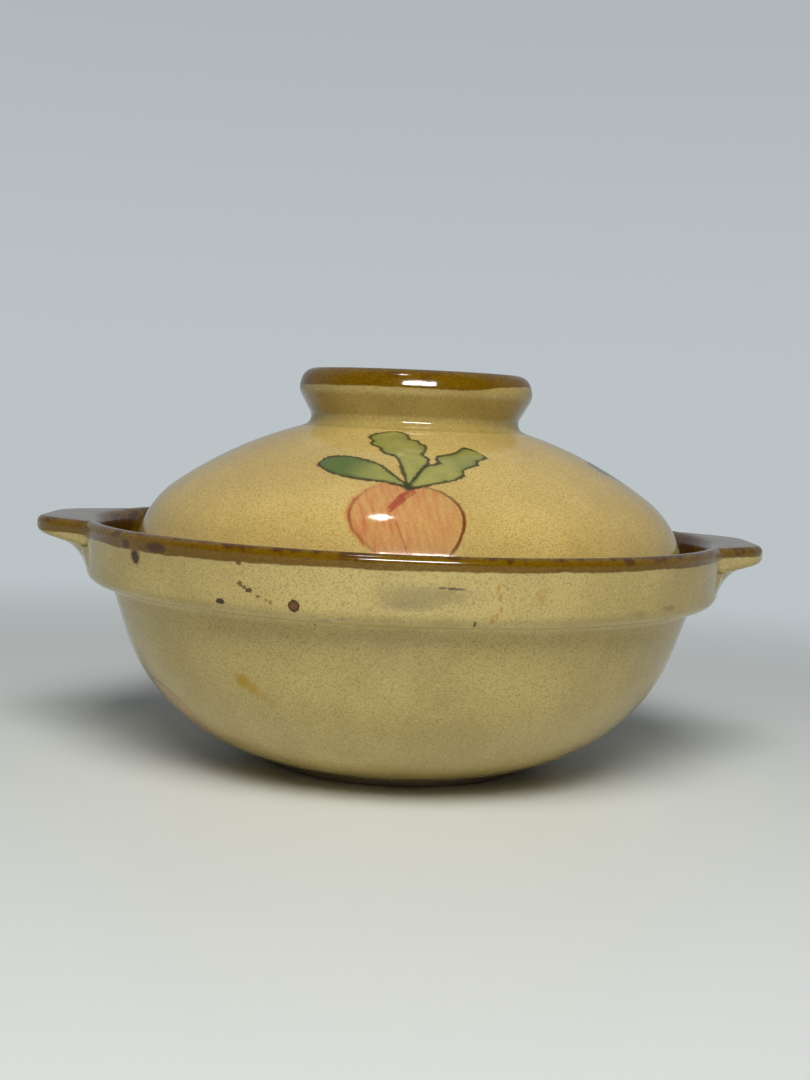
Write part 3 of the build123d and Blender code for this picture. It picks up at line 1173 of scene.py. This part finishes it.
@dataclass(frozen=True)
class KnobGlaze:
    """The ring's finish: cream wall and an amber-brown lip; its cream is darker than the dome's, as painted
    shade under the lip.
    """
    # Darker cream than the dome's: painted shade on the ring's wall under its lip
    tones: GlazeTones = GlazeTones(
        light=(0.46, 0.345, 0.105, 1),
        deep=(0.36, 0.265, 0.07, 1),
        speck=(0.25, 0.165, 0.05, 1),
        pale=(0.62, 0.51, 0.24, 1),
    )
    rough: float = 0.11
    edge_dark: float = 0.25
    left_depth: float = 6.2
    right_depth: float = 3.9
    narrows_from: float = 0.2
    narrows_to: float = 1.3
    shift_x: float = 2.2

    def material(self, top: float) -> bpy.types.Material:
        """Builds the finish.

        Args:
            top: height of the ring's top, from which the dipped band is measured down.

        Returns:
            The material.
        """
        material, w, shader = new_material("knob_glaze_ring")
        place = w.mapped(w.place_mm(), (self.shift_x, 0, 0))
        depth = w.less(top, w.split(place)[2])
        azimuth = TURNED_PLACE.use(w, Place=place)["Azimuth"]
        to_right = w.rise(azimuth, self.narrows_from, self.narrows_to)
        width = w.between(to_right, self.left_depth, self.right_depth)
        colour, relief = Dip(depth, width, self.edge_dark).over(w, place, *self.tones.coat(w, place))
        glaze_over(w, shader, colour, relief, self.rough)
        return material


# Pieces

@dataclass
class PotBody:
    """Bowl, stepped collar, rim and ledge as one turned skin."""
    foot_radius: float = 46.0
    foot_height: float = 2.0
    foot_ring_width: float = 8.0
    foot_recess: float = 1.2
    foot_round: float = 0.8
    wall: float = 6.5
    floor: float = 6.8
    outline_shares: tuple = (
        (0.165, 0.048), (0.368, 0.134), (0.544, 0.247), (0.708, 0.399), (0.842, 0.588), (0.922, 0.778),
    )
    start_slope_deg: float = 12.0
    end_slope_deg: float = 70.0
    rim_height: float = 82.5
    rim_radius: float = 112.2
    rim_width: float = 6.5
    rim_outer_round: float = 2.3
    rim_inner_round: float = 3.5
    collar_depth: float = 20.2
    collar_lean: float = 2.5
    collar_step: float = 8.5
    collar_undercut: float = 2.1
    collar_corner_round: float = 5.3
    ledge_depth: float = 15.0
    ledge_corner_round: float = 3.0
    ledge_edge_round: float = 2.2
    gallery_draft: float = 1.2
    inside_fade: float = 1.5
    bare_above_foot: float = 0.6
    bare_fade: float = 0.8
    hand_depth: float = 0.22
    hand_below_rim: float = 4.0
    hand_fade: float = 6.0
    drawn_in_share: float = 0.0003
    motif_height: float = 18.5
    columns: int = 480
    foot_steps: int = 5
    offset_steps: int = 400
    spacing: float = 3.0
    finish: PotGlaze = field(default_factory=PotGlaze)

    def collar_corner(self) -> np.ndarray:
        """Place where the collar's outside turns in under itself."""
        return np.array([self.rim_radius - self.collar_lean, self.rim_height - self.collar_depth])

    def crease(self) -> np.ndarray:
        """Place of the crease between collar and bowl."""
        return self.collar_corner() - (self.collar_step, self.collar_undercut)

    def gallery_radius(self) -> float:
        """Inside radius of the collar at the ledge."""
        return self.rim_radius - self.rim_width - self.gallery_draft

    def ledge_height(self) -> float:
        """Height of the ledge."""
        return self.rim_height - self.ledge_depth

    def bowl_outside(self, count: int = 56) -> np.ndarray:
        """Smooth line from the foot to the crease through the outline's shares.

        Args:
            count: how many points.

        Returns:
            The line's points.
        """
        start = np.array([self.foot_radius, self.foot_height])
        places = start + np.array([(0, 0), *self.outline_shares, (1, 1)]) * (self.crease() - start)
        ways = [(cos(radians(a)), sin(radians(a))) for a in (self.start_slope_deg, self.end_slope_deg)]
        return smooth_line(places, *ways, count)

    def bowl_inside(self, mouth: np.ndarray, count: int = 48) -> np.ndarray:
        """Smooth line one wall inside the outside, from the mouth to the floor's middle.

        Args:
            mouth: place where it starts, under the ledge.
            count: how many points.

        Returns:
            The line's points.
        """
        outside = self.bowl_outside(self.offset_steps)
        along = lengths_along(outside)
        shares = np.arange(len(self.outline_shares), 0, -1) / (len(self.outline_shares) + 1)
        index = np.searchsorted(along, shares * along[-1])
        way = unit(outside[index + 1] - outside[index - 1])
        inner = outside[index] + self.wall * np.stack([-way[:, 1], way[:, 0]], axis=1)
        floor = (0.0, self.foot_recess + self.floor)
        return smooth_line(np.vstack([mouth, inner, floor]), (0, -1), (-1, 0), count)

    def section(self) -> tuple[np.ndarray, np.ndarray, np.ndarray, np.ndarray]:
        """The closed section.

        The crest is the highest point, and of points as high the one nearest to the rim's outer round.

        Returns:
            Its line, the run down from the rim's crest, and masks of the inside and of the bare clay.
        """
        ring_inner = self.foot_radius - self.foot_ring_width
        foot = rounded(
            [(0, self.foot_recess), (ring_inner - self.foot_recess, self.foot_recess), (ring_inner, 0),
             (self.foot_radius, 0), (self.foot_radius, self.foot_height)],
            [self.foot_round] * 3, self.foot_steps)
        outside = self.bowl_outside()
        mouth_radius = self.crease()[0] - self.wall
        mouth = np.array([mouth_radius, self.ledge_height() - 2 * self.ledge_edge_round])
        collar = rounded(
            [self.crease(), self.collar_corner(), (self.rim_radius, self.rim_height),
             (self.rim_radius - self.rim_width, self.rim_height),
             (self.gallery_radius(), self.ledge_height()), (mouth_radius, self.ledge_height()), mouth],
            [self.collar_corner_round, self.rim_outer_round, self.rim_inner_round, self.ledge_corner_round,
             self.ledge_edge_round])
        inside = self.bowl_inside(mouth)
        line = np.vstack([foot[1:-1], outside, collar[1:-1], inside[:-1]])
        line = filled_in(line, self.spacing)
        along = lengths_along(line)
        tie_break = 0.001
        off_round = np.abs(line[:, 0] - self.rim_radius + self.rim_outer_round)
        crest = along[np.argmax(line[:, 1] - tie_break * off_round)]
        run = crest - along
        inner = eased(-run / self.inside_fade)
        bare = eased((self.foot_height + self.bare_above_foot - line[:, 1]) / self.bare_fade) * (run > 0)
        return line, run, inner, bare

    def motif_run(self) -> float:
        """Run of the bowl's painting, from its height on the outside.

        Returns:
            Its distance from the rim's crest.
        """
        line, run, _, _ = self.section()
        outer = (run > 0) & (line[:, 0] >= self.foot_radius)
        return float(np.interp(self.motif_height, line[outer, 1], run[outer]))

    def build(self) -> bpy.types.Object:
        """Makes and dresses the pot's body.

        Returns:
            The piece.
        """
        line, run, inside, bare = self.section()
        grid = turned(line, self.columns)
        grid[..., :2] *= 1 - self.drawn_in_share
        share = eased((self.rim_height - self.hand_below_rim - line[:, 1]) / self.hand_fade)
        grid = thrown_by_hand(grid, self.hand_depth, share * (run > 0) * (line[:, 0] > self.foot_radius))
        marks = {"run": run[:, None], "inside": inside[:, None], "bare": bare[:, None]}
        piece = skin("pot_body_glazed", grid, Ends.CAPPED, marks)
        finish_piece(piece, "pot", "pot_body", self.finish.material(self.motif_run()))
        return piece


HANDLE_REACHES = {Side.RIGHT: 12.0, Side.LEFT: 14.6}


@dataclass
class LugHandle:
    """A lug handle, whose section changes with the azimuth as its outline in plan does."""
    side: Side
    body: PotBody
    finish: HandleGlaze = field(default_factory=HandleGlaze)
    tip_half_width: float = 20.0
    root_spread: float = 17.0
    end_spread: float = 18.0
    root_blend: float = 20.0
    tip_blend: float = 20.0
    tip_thickness: float = 5.4
    root_thickness: float = 8.4
    edge_round: float = 2.3
    cove_depth: float = 9.0
    luting_depth: float = 4.0
    cove_start: float = 0.2
    corner_gap: float = 0.3
    foot_sunk: float = 0.4
    closing: float = 1.2
    sunk: float = 1.0
    sunk_end: float = 0.5
    sink_start: float = 0.8
    sink_fade: float = 1.3
    crest_depth: float = 1.6
    crest_round: float = 0.3
    crest_step: float = 0.1
    round_most: float = 0.45
    rows: int = 181
    plan_steps: int = 40
    plan_spacing: float = 0.25
    edge_steps: int = 10
    cove_steps: int = 14

    def plan(self) -> np.ndarray:
        """The handle's outline in plan, from its one end to the other, as distances out and across.

        Returns:
            The outline's points, its corners rounded.
        """
        rim = self.body.rim_radius
        root_half = self.tip_half_width + self.root_spread
        end_half = root_half + self.end_spread
        back_radius = rim - self.luting_depth
        root = (sqrt(rim**2 - root_half**2), root_half)
        back = (sqrt(back_radius**2 - end_half**2), end_half)
        tip = (rim + HANDLE_REACHES[self.side], self.tip_half_width)
        half = np.array([back, root, tip])
        mirrored = half[::-1] * (1, -1)
        corners = np.vstack([half, mirrored])
        blends = [self.root_blend, self.tip_blend, self.tip_blend, self.root_blend]
        return rounded(corners, blends, self.plan_steps)

    def edge_radii(self) -> tuple[np.ndarray, np.ndarray]:
        """Azimuths from the handle's middle, and the outline's radius at each.

        They run as far round as the outline lies outside the rim's radius less the depth the handle is sunk.

        Returns:
            The azimuths in radians and the radii.
        """
        outline = filled_in(self.plan(), self.plan_spacing)
        azimuth = np.arctan2(outline[:, 1], outline[:, 0])
        radius = np.hypot(outline[:, 0], outline[:, 1])
        order = np.argsort(azimuth)
        azimuth, radius = azimuth[order], radius[order]
        out = azimuth[radius > self.body.rim_radius - self.sunk]
        places = np.linspace(out[0], out[-1], self.rows)
        return places, np.interp(places, azimuth, radius)

    def sections(self, radius: np.ndarray) -> np.ndarray:
        """Sections of the handle, one for each radius of its edge.

        Each runs from under the rim's crest out along the level top, round the edge, back along the underside
        and down the cove, and closes inside the collar's wall. Near the handle's ends the top sinks just
        under the crest. The cove is a parabola that touches the underside and ends at the wall:
        (1-s)^2 start + 2s(1-s) corner + s^2 foot.

        Args:
            radius: distances of the edge from the pot's axis.

        Returns:
            Places (distance out, height): sections along the first axis, their points along the second.
        """
        rim, top = self.body.rim_radius, self.body.rim_height
        same = np.ones_like(radius)
        level = top - self.sunk_end * eased((self.sink_start - (radius - rim)) / self.sink_fade)
        outer = np.maximum(radius, rim - self.sunk)
        rise = (self.root_thickness - self.tip_thickness) / max(HANDLE_REACHES.values())
        thick = self.root_thickness - rise * (outer - rim)
        edge_round = np.minimum(self.edge_round, self.round_most * thick)
        crest = rim - self.body.rim_outer_round
        root_low = top - self.root_thickness
        wall_low = root_low - self.cove_depth
        wall = rim - self.body.collar_lean / self.body.collar_depth * (top - wall_low)
        low_edge = np.stack([outer, np.minimum(top - thick, level - 2 * edge_round - self.crest_step)], -1)
        corner = np.stack([np.minimum(rim, outer - self.corner_gap), root_low * same], -1)
        back = np.clip(outer - rim - self.edge_round, self.cove_start, self.cove_depth)[:, None]
        start = corner + unit(low_edge - corner) * back
        foot = np.stack([(wall - self.foot_sunk) * same, wall_low * same], -1)
        upper = np.stack([
            np.stack([(crest - self.crest_round) * same, level - self.crest_depth], -1),
            np.stack([(crest + self.crest_step) * same, level], -1),
            np.stack([outer, level], -1),
            low_edge,
            start,
        ], axis=-2)
        radii = np.stack([self.crest_round * same, edge_round, edge_round], -1)
        upper = rounded(upper, radii, self.edge_steps)
        share = np.linspace(0, 1, self.cove_steps + 1)[1:, None]
        ends = (1 - share)**2 * start[:, None] + share**2 * foot[:, None]
        cove = ends + 2 * share * (1 - share) * corner[:, None]
        return np.concatenate([upper, cove, foot[:, None] - (self.closing, 0)], axis=1)

    def build(self) -> bpy.types.Object:
        """Makes and dresses the handle.

        Returns:
            The piece.
        """
        azimuth, radius = self.edge_radii()
        lines = self.sections(radius)
        angle = azimuth[:, None] + (0.0 if self.side is Side.RIGHT else pi)
        out, height = lines[..., 0], lines[..., 1]
        grid = np.stack([out * np.cos(angle), out * np.sin(angle), height], axis=-1)
        name = "handle_" + self.side.value
        piece = skin(name + "_glazed", grid, Ends.CAPPED, {})
        material = self.finish.material(self.side, self.body.rim_height)
        finish_piece(piece, "pot", name, material)
        return piece


@dataclass
class LidDome:
    """The domed lid with its flange and foot, hollow below, with a steam hole at the back."""
    body: PotBody
    shift_x: float = 2.2
    seat_gap: float = 0.3
    height: float = 54.9
    shoulder_round: float = 32.0
    side_length: float = 4.4
    side_lean_deg: float = 12.0
    wall: float = 5.6
    flange_clearance: float = 4.6
    flange_width: float = 3.9
    flange_height: float = 4.4
    flange_round: float = 1.9
    flange_blend: float = 2.0
    foot_round: float = 1.0
    hole_radius: float = 3.0
    hole_reach: float = 62.0
    hole_round: float = 0.8
    bare_height: float = 2.2
    columns: int = 384
    crown_rows: int = 84
    crown_crowding: float = 1.15
    hole_rows: int = 4
    outer_steps: int = 26
    inner_steps: int = 20
    flange_steps: int = 7
    foot_rows: int = 8
    spacing: float = 3.0
    finish: LidGlaze = field(default_factory=LidGlaze)

    def seat(self) -> float:
        """Height of the lid's foot."""
        return self.body.ledge_height() + self.seat_gap

    def side_foot(self) -> np.ndarray:
        """Place where the dome's side meets its flange."""
        flange = self.body.gallery_radius() - self.flange_clearance
        return np.array([flange - self.flange_width, self.seat() + self.flange_height])

    def outward(self) -> np.ndarray:
        """Direction square to the dome's leaning side."""
        lean = radians(self.side_lean_deg)
        return np.array([cos(lean), sin(lean)])

    def down(self) -> np.ndarray:
        """Direction down the dome's leaning side."""
        lean = radians(self.side_lean_deg)
        return np.array([sin(lean), -cos(lean)])

    def shoulder_centre(self) -> np.ndarray:
        """Centre of the shoulder's arc."""
        return self.side_foot() - self.down() * self.side_length - self.outward() * self.shoulder_round

    def crown(self) -> float:
        """Height of the dome's top."""
        return self.seat() + self.height

    def dome_radius(self) -> float:
        """Radius of the crown's arc, which runs on into the shoulder's.

        The shoulder's circle touches it from inside: (out^2 + drop^2 - r^2) / (2 (drop - r)), with r the
        shoulder's round, and out and drop how far its centre lies from the axis and below the crown.

        Returns:
            The radius.
        """
        out, low = self.shoulder_centre()
        drop = self.crown() - low
        return (out**2 + drop**2 - self.shoulder_round**2) / (2 * (drop - self.shoulder_round))

    def joint_deg(self) -> float:
        """Angle, up from straight out, at which crown and shoulder meet.

        Returns:
            The angle in degrees.
        """
        centre = (0, self.crown() - self.dome_radius())
        out, up = self.shoulder_centre() - centre
        return degrees(atan2(up, out))

    def joint_radius(self, inset: float) -> float:
        """Distance from the axis at which crown and shoulder meet, on a line set in by so much."""
        return float((self.dome_radius() - inset) * cos(radians(self.joint_deg())))

    def dome_height(self, radius: np.ndarray, inset: float = 0.0) -> np.ndarray:
        """Height of the crown's arc at a distance from the axis."""
        centre = self.crown() - self.dome_radius()
        return centre + np.sqrt((self.dome_radius() - inset)**2 - np.square(radius))

    def crown_rings(self, inset: float) -> tuple[np.ndarray, np.ndarray]:
        """Nested rings on the crown, from the hole's rounded edge to where the shoulder starts.

        A ring's centre moves from the hole to the axis as its radius grows. The first rings turn down the
        hole's round: their radius is the hole's plus round * (1 - sin a), their depth round * (1 - cos a).

        Args:
            inset: how far in from the outside the surface lies.

        Returns:
            Grid of places, and each place's run from the axis along the dome.
        """
        azimuth = np.linspace(0, 2 * pi, self.columns, endpoint=False)
        angle = np.linspace(pi / 2, 0, self.hole_rows + 1)[:-1]
        start = self.hole_radius + self.hole_round
        share = np.linspace(0, 1, self.crown_rows)**self.crown_crowding
        rings = start + (self.joint_radius(inset) - start) * share
        radius = np.concatenate([self.hole_radius + self.hole_round * (1 - np.sin(angle)), rings])[:, None]
        centre = np.concatenate([self.hole_reach + 0 * angle, self.hole_reach * (1 - share)])[:, None]
        depth = np.concatenate([self.hole_round * (1 - np.cos(angle)), 0 * share])[:, None]
        x = radius * np.sin(azimuth)
        y = centre - radius * np.cos(azimuth)
        out = np.hypot(x, y)
        sign = 1.0 if inset else -1.0
        z = self.dome_height(out, inset) + sign * depth
        run = self.dome_radius() * np.arcsin(out / self.dome_radius())
        return np.stack([x, y, z], axis=-1), run

    def skirt(self) -> np.ndarray:
        """Section from the crown's edge down the shoulder, over flange and foot, and up the inside.

        Returns:
            The section's points, its first and last where the crown's rings end.
        """
        joint, lean = self.joint_deg(), self.side_lean_deg
        outer = arc(self.shoulder_centre(), self.shoulder_round, joint, lean, self.outer_steps)
        inner = arc(self.shoulder_centre(), self.shoulder_round - self.wall, lean, joint, self.inner_steps)
        inner_foot = self.side_foot() - self.outward() * self.wall
        low = inner_foot + self.down() * (inner_foot[1] - self.seat()) / -self.down()[1]
        edge = self.side_foot()[0] + self.flange_width
        flange = rounded(
            [outer[-1], self.side_foot(), (edge, self.side_foot()[1]), (edge, self.seat()), low, inner[0]],
            [self.flange_blend, self.flange_round, self.flange_round, self.foot_round], self.flange_steps)
        return filled_in(np.vstack([outer, flange[1:-1], inner]), self.spacing)

    def build(self) -> bpy.types.Object:
        """Makes and dresses the dome: crown, skirt and the crown's underside as one grid.

        Its inside mask starts some rows past the foot, and its clay is bare near the foot.

        Returns:
            The piece.
        """
        top, top_run = self.crown_rings(0.0)
        under, under_run = self.crown_rings(self.wall)
        line = self.skirt()[1:-1]
        skirt_grid = turned(line, self.columns)
        along = lengths_along(self.skirt())[1:-1]
        skirt_run = (top_run[-1].mean() + along)[:, None] + 0 * skirt_grid[..., 0]
        grid = np.concatenate([top, skirt_grid, under[::-1]])
        run = np.concatenate([top_run, skirt_run, under_run[::-1]])
        past_foot = np.arange(len(line)) > np.argmin(line[:, 1]) + self.foot_rows
        inside = np.concatenate([0 * top_run[:, 0], past_foot * 1.0, 1 + 0 * under_run[:, 0]])
        near_foot = eased(self.seat() + self.bare_height - line[:, 1])
        bare = np.concatenate([0 * top_run[:, 0], near_foot, 0 * under_run[:, 0]])
        grid[..., 0] += self.shift_x
        marks = {"run": run, "inside": inside[:, None], "bare": bare[:, None]}
        piece = skin("lid_dome_glazed", grid, Ends.JOINED, marks)
        finish_piece(piece, "lid", "lid_dome", self.finish.material())
        return piece


@dataclass
class KnobRing:
    """The flared ring on the dome, whose root runs out into the dome's glaze as a thin skirt."""
    dome: LidDome
    root_radius: float = 35.0
    root_width: float = 4.5
    root_rise: float = 0.5
    root_blend: float = 3.2
    flare: float = 6.2
    flare_height: float = 11.0
    wide_round: float = 6.0
    lip_lean: float = 2.0
    lip_height: float = 7.3
    lip_round: float = 5.0
    lip_inner_round: float = 2.2
    wall: float = 6.6
    sunk: float = 0.25
    skirt_lap: float = 0.7
    skirt_drop: float = 0.3
    skirt_thin: float = 0.1
    skirt_round: float = 0.4
    inner_round: float = 0.2
    columns: int = 384
    steps: int = 14
    spacing: float = 1.6
    finish: KnobGlaze = field(default_factory=KnobGlaze)

    def on_dome(self, radius: float) -> np.ndarray:
        """Place of the section on the dome's outside."""
        return np.array([radius, float(self.dome.dome_height(radius))])

    def section(self) -> np.ndarray:
        """The ring's closed section.

        Returns:
            Its points (distance from the axis, height).
        """
        skirt = self.on_dome(self.root_radius + self.root_width)
        inner = self.on_dome(self.root_radius - self.wall)
        root = self.on_dome(self.root_radius) + (0, self.root_rise)
        wide = root + (self.flare, self.flare_height)
        lip = wide + (-self.lip_lean, self.lip_height)
        under_skirt = skirt + (self.skirt_lap, -self.sunk - self.skirt_drop)
        under_inner = inner - (0, 2 * self.sunk)
        inner_lip = lip - (self.wall, 0)
        line = rounded(
            [under_skirt, skirt + (self.skirt_thin, 0.0), root, wide, lip, inner_lip, inner, under_inner],
            [self.skirt_round, self.root_blend, self.wide_round, self.lip_round, self.lip_inner_round,
             self.inner_round],
            self.steps)
        return filled_in(line, self.spacing)

    def build(self) -> bpy.types.Object:
        """Makes and dresses the ring.

        Returns:
            The piece.
        """
        line = self.section()
        grid = turned(line, self.columns)
        grid[..., 0] += self.dome.shift_x
        piece = skin("lid_knob_ring_glazed", grid, Ends.JOINED, {})
        material = self.finish.material(float(line[:, 1].max()))
        finish_piece(piece, "lid", "lid_knob_ring", material)
        return piece


# Studio

class SeenIn(Enum):
    """What a lamp lights."""
    SURFACES = "the surfaces, but not the glaze's mirror"
    MIRROR = "the glaze's mirror alone"


@dataclass(frozen=True)
class Lamp:
    """A rectangular lamp that faces the object, at angles up and round to the right."""
    name: str
    elevation_deg: float
    azimuth_deg: float
    distance_m: float
    size_m: tuple[float, float]
    power_w: float
    colour: tuple[float, float, float]
    seen_in: SeenIn
    middle_m: tuple[float, float, float] = (0.0, 0.0, 0.07)

    def build(self) -> None:
        """Adds the lamp on a ball about the object's middle, turned towards it."""
        data = bpy.data.lights.new(self.name, "AREA")
        data.shape = "RECTANGLE"
        data.size, data.size_y = self.size_m
        data.energy = self.power_w
        data.color = self.colour
        lamp = bpy.data.objects.new(self.name, data)
        high, right = radians(self.elevation_deg), radians(self.azimuth_deg)
        way = Vector((cos(high) * sin(right), -cos(high) * cos(right), sin(high)))
        lamp.location = Vector(self.middle_m) + way * self.distance_m
        lamp.rotation_euler = way.to_track_quat("Z", "Y").to_euler()
        lamp.visible_diffuse = self.seen_in is SeenIn.SURFACES
        lamp.visible_glossy = self.seen_in is SeenIn.MIRROR
        bpy.context.scene.collection.objects.link(lamp)


# Each lamp's angles up and round, distance, size, power and colour, and what it is seen in
LAMPS = (
    Lamp("window", 31.0, 3.0, 1.25, (0.60, 0.15), 21.0, (1.0, 0.985, 0.95), SeenIn.MIRROR),
    Lamp("ceiling", 75.7, -34.0, 1.35, (0.09, 0.13), 1.9, (1.0, 0.98, 0.95), SeenIn.MIRROR),
    Lamp("soft_box", 46.0, 2.0, 1.3, (0.7, 0.6), 15.6, (1.0, 0.985, 0.955), SeenIn.SURFACES),
)


@dataclass
class Studio:
    """Pale floor, plain soft light, pale background and the camera."""
    floor_radius_m: float = 3.0
    floor_sides: int = 96
    floor_rough: float = 0.42
    floor_ior: float = 1.4
    fade_start_m: float = 0.45
    fade_end_m: float = 0.88
    fade_centre_m: tuple = (0.0, -0.3, 0.0)
    floor_colour: Colour = (0.80, 0.835, 0.82, 1)
    far_colour: Colour = (0.50, 0.545, 0.565, 1)
    sky_colour: Colour = (0.42, 0.455, 0.49, 1)
    room_colour: Colour = (0.02, 0.02, 0.02, 1)
    mirrored_share: float = 0.7
    sky_rise: float = 0.35
    room_start: float = 0.35
    room_end: float = -0.25
    world_strength: float = 0.09
    world_colour: Colour = (0.93, 0.97, 1.0, 1)
    camera_place_m: tuple = (0.0006, -0.550, 0.1224)
    camera_pitch_deg: float = 4.631
    camera_roll_deg: float = 2.487
    camera_lens_mm: float = 51.92
    camera_near_m: float = 0.01

    def build(self) -> None:
        """Makes floor, world, lamps and camera."""
        self.floor()
        self.world()
        for lamp in LAMPS:
            lamp.build()
        self.camera()

    def floor(self) -> None:
        """A wide round floor that fades to the background's colour far from the object."""
        angle = np.linspace(0, 2 * pi, self.floor_sides, endpoint=False)
        ring = np.stack([np.cos(angle), np.sin(angle), 0 * angle], axis=1) * self.floor_radius_m
        mesh = bpy.data.meshes.new("floor")
        mesh.from_pydata(ring.tolist(), [], [list(range(self.floor_sides))])
        floor = bpy.data.objects.new("floor", mesh)
        bpy.context.scene.collection.objects.link(floor)
        material, w, shader = new_material("floor_sheet")
        place = w.node("ShaderNodeTexCoord").outputs["Object"]
        distance = w.vector("DISTANCE", place, self.fade_centre_m)
        w.join(shader.inputs["Base Color"], self.floor_colour)
        shader.inputs["Roughness"].default_value = self.floor_rough
        shader.inputs["IOR"].default_value = self.floor_ior
        far = w.node("ShaderNodeEmission", feeds={"Color": self.far_colour, "Strength": 1.0})
        share = w.times(w.rise(distance, self.fade_start_m, self.fade_end_m), self.seen_share(w))
        both = w.node("ShaderNodeMixShader", feeds={0: share, 1: shader.outputs[0], 2: far.outputs[0]})
        output = material.node_tree.nodes["Material Output"]
        w.join(output.inputs["Surface"], both.outputs[0])
        mesh.materials.append(material)

    def seen_share(self, w: Wires) -> Socket:
        """1 for camera, mirror and glass rays, 0 for the rays that light things.

        Args:
            w: the tree's wiring.

        Returns:
            The share.
        """
        path = w.node("ShaderNodeLightPath")
        seen = w.math("MAXIMUM", path.outputs["Is Camera Ray"], path.outputs["Is Glossy Ray"])
        return w.math("MAXIMUM", seen, path.outputs["Is Transmission Ray"])

    def world(self) -> None:
        """Pale light from all round, and the background that the camera and the glaze see."""
        world = bpy.data.worlds.new("studio")
        bpy.context.scene.world = world
        world.use_nodes = True
        w = Wires(world.node_tree)
        ambient = world.node_tree.nodes["Background"]
        ambient.inputs["Color"].default_value = self.world_colour
        ambient.inputs["Strength"].default_value = self.world_strength
        _, far, up = w.split(w.node("ShaderNodeTexCoord").outputs["Generated"])
        colour = w.mix(w.rise(up, 0.0, self.sky_rise), self.far_colour, self.sky_colour)
        mirrored = w.node("ShaderNodeLightPath").outputs["Is Glossy Ray"]
        room = w.times(mirrored, w.rise(far, self.room_start, self.room_end))
        colour = w.mix(room, colour, self.room_colour)
        strength = w.between(mirrored, 1.0, self.mirrored_share)
        backdrop = w.node("ShaderNodeBackground", feeds={"Color": colour, "Strength": strength})
        feeds = {0: self.seen_share(w), 1: ambient.outputs[0], 2: backdrop.outputs[0]}
        both = w.node("ShaderNodeMixShader", feeds=feeds)
        w.join(world.node_tree.nodes["World Output"].inputs["Surface"], both.outputs[0])

    def camera(self) -> None:
        """Sets the camera where the photograph was taken."""
        data = bpy.data.cameras.new("camera")
        data.lens = self.camera_lens_mm
        data.clip_start = self.camera_near_m
        camera = bpy.data.objects.new("camera", data)
        tilt = Matrix.Rotation(radians(90 - self.camera_pitch_deg), 4, "X")
        roll = Matrix.Rotation(radians(self.camera_roll_deg), 4, "Z")
        camera.matrix_world = Matrix.Translation(self.camera_place_m) @ tilt @ roll
        bpy.context.scene.collection.objects.link(camera)
        bpy.context.scene.camera = camera


def main() -> None:
    """Builds every piece in order."""
    logging.basicConfig(level=logging.INFO, format="%(message)s")
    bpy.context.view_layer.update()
    Studio().build()
    body = PotBody()
    body.build()
    for side in HANDLE_REACHES:
        LugHandle(side, body).build()
    dome = LidDome(body)
    dome.build()
    KnobRing(dome).build()
    bpy.context.scene.view_settings.view_transform = "Standard"


if __name__ == "__main__":
    main()
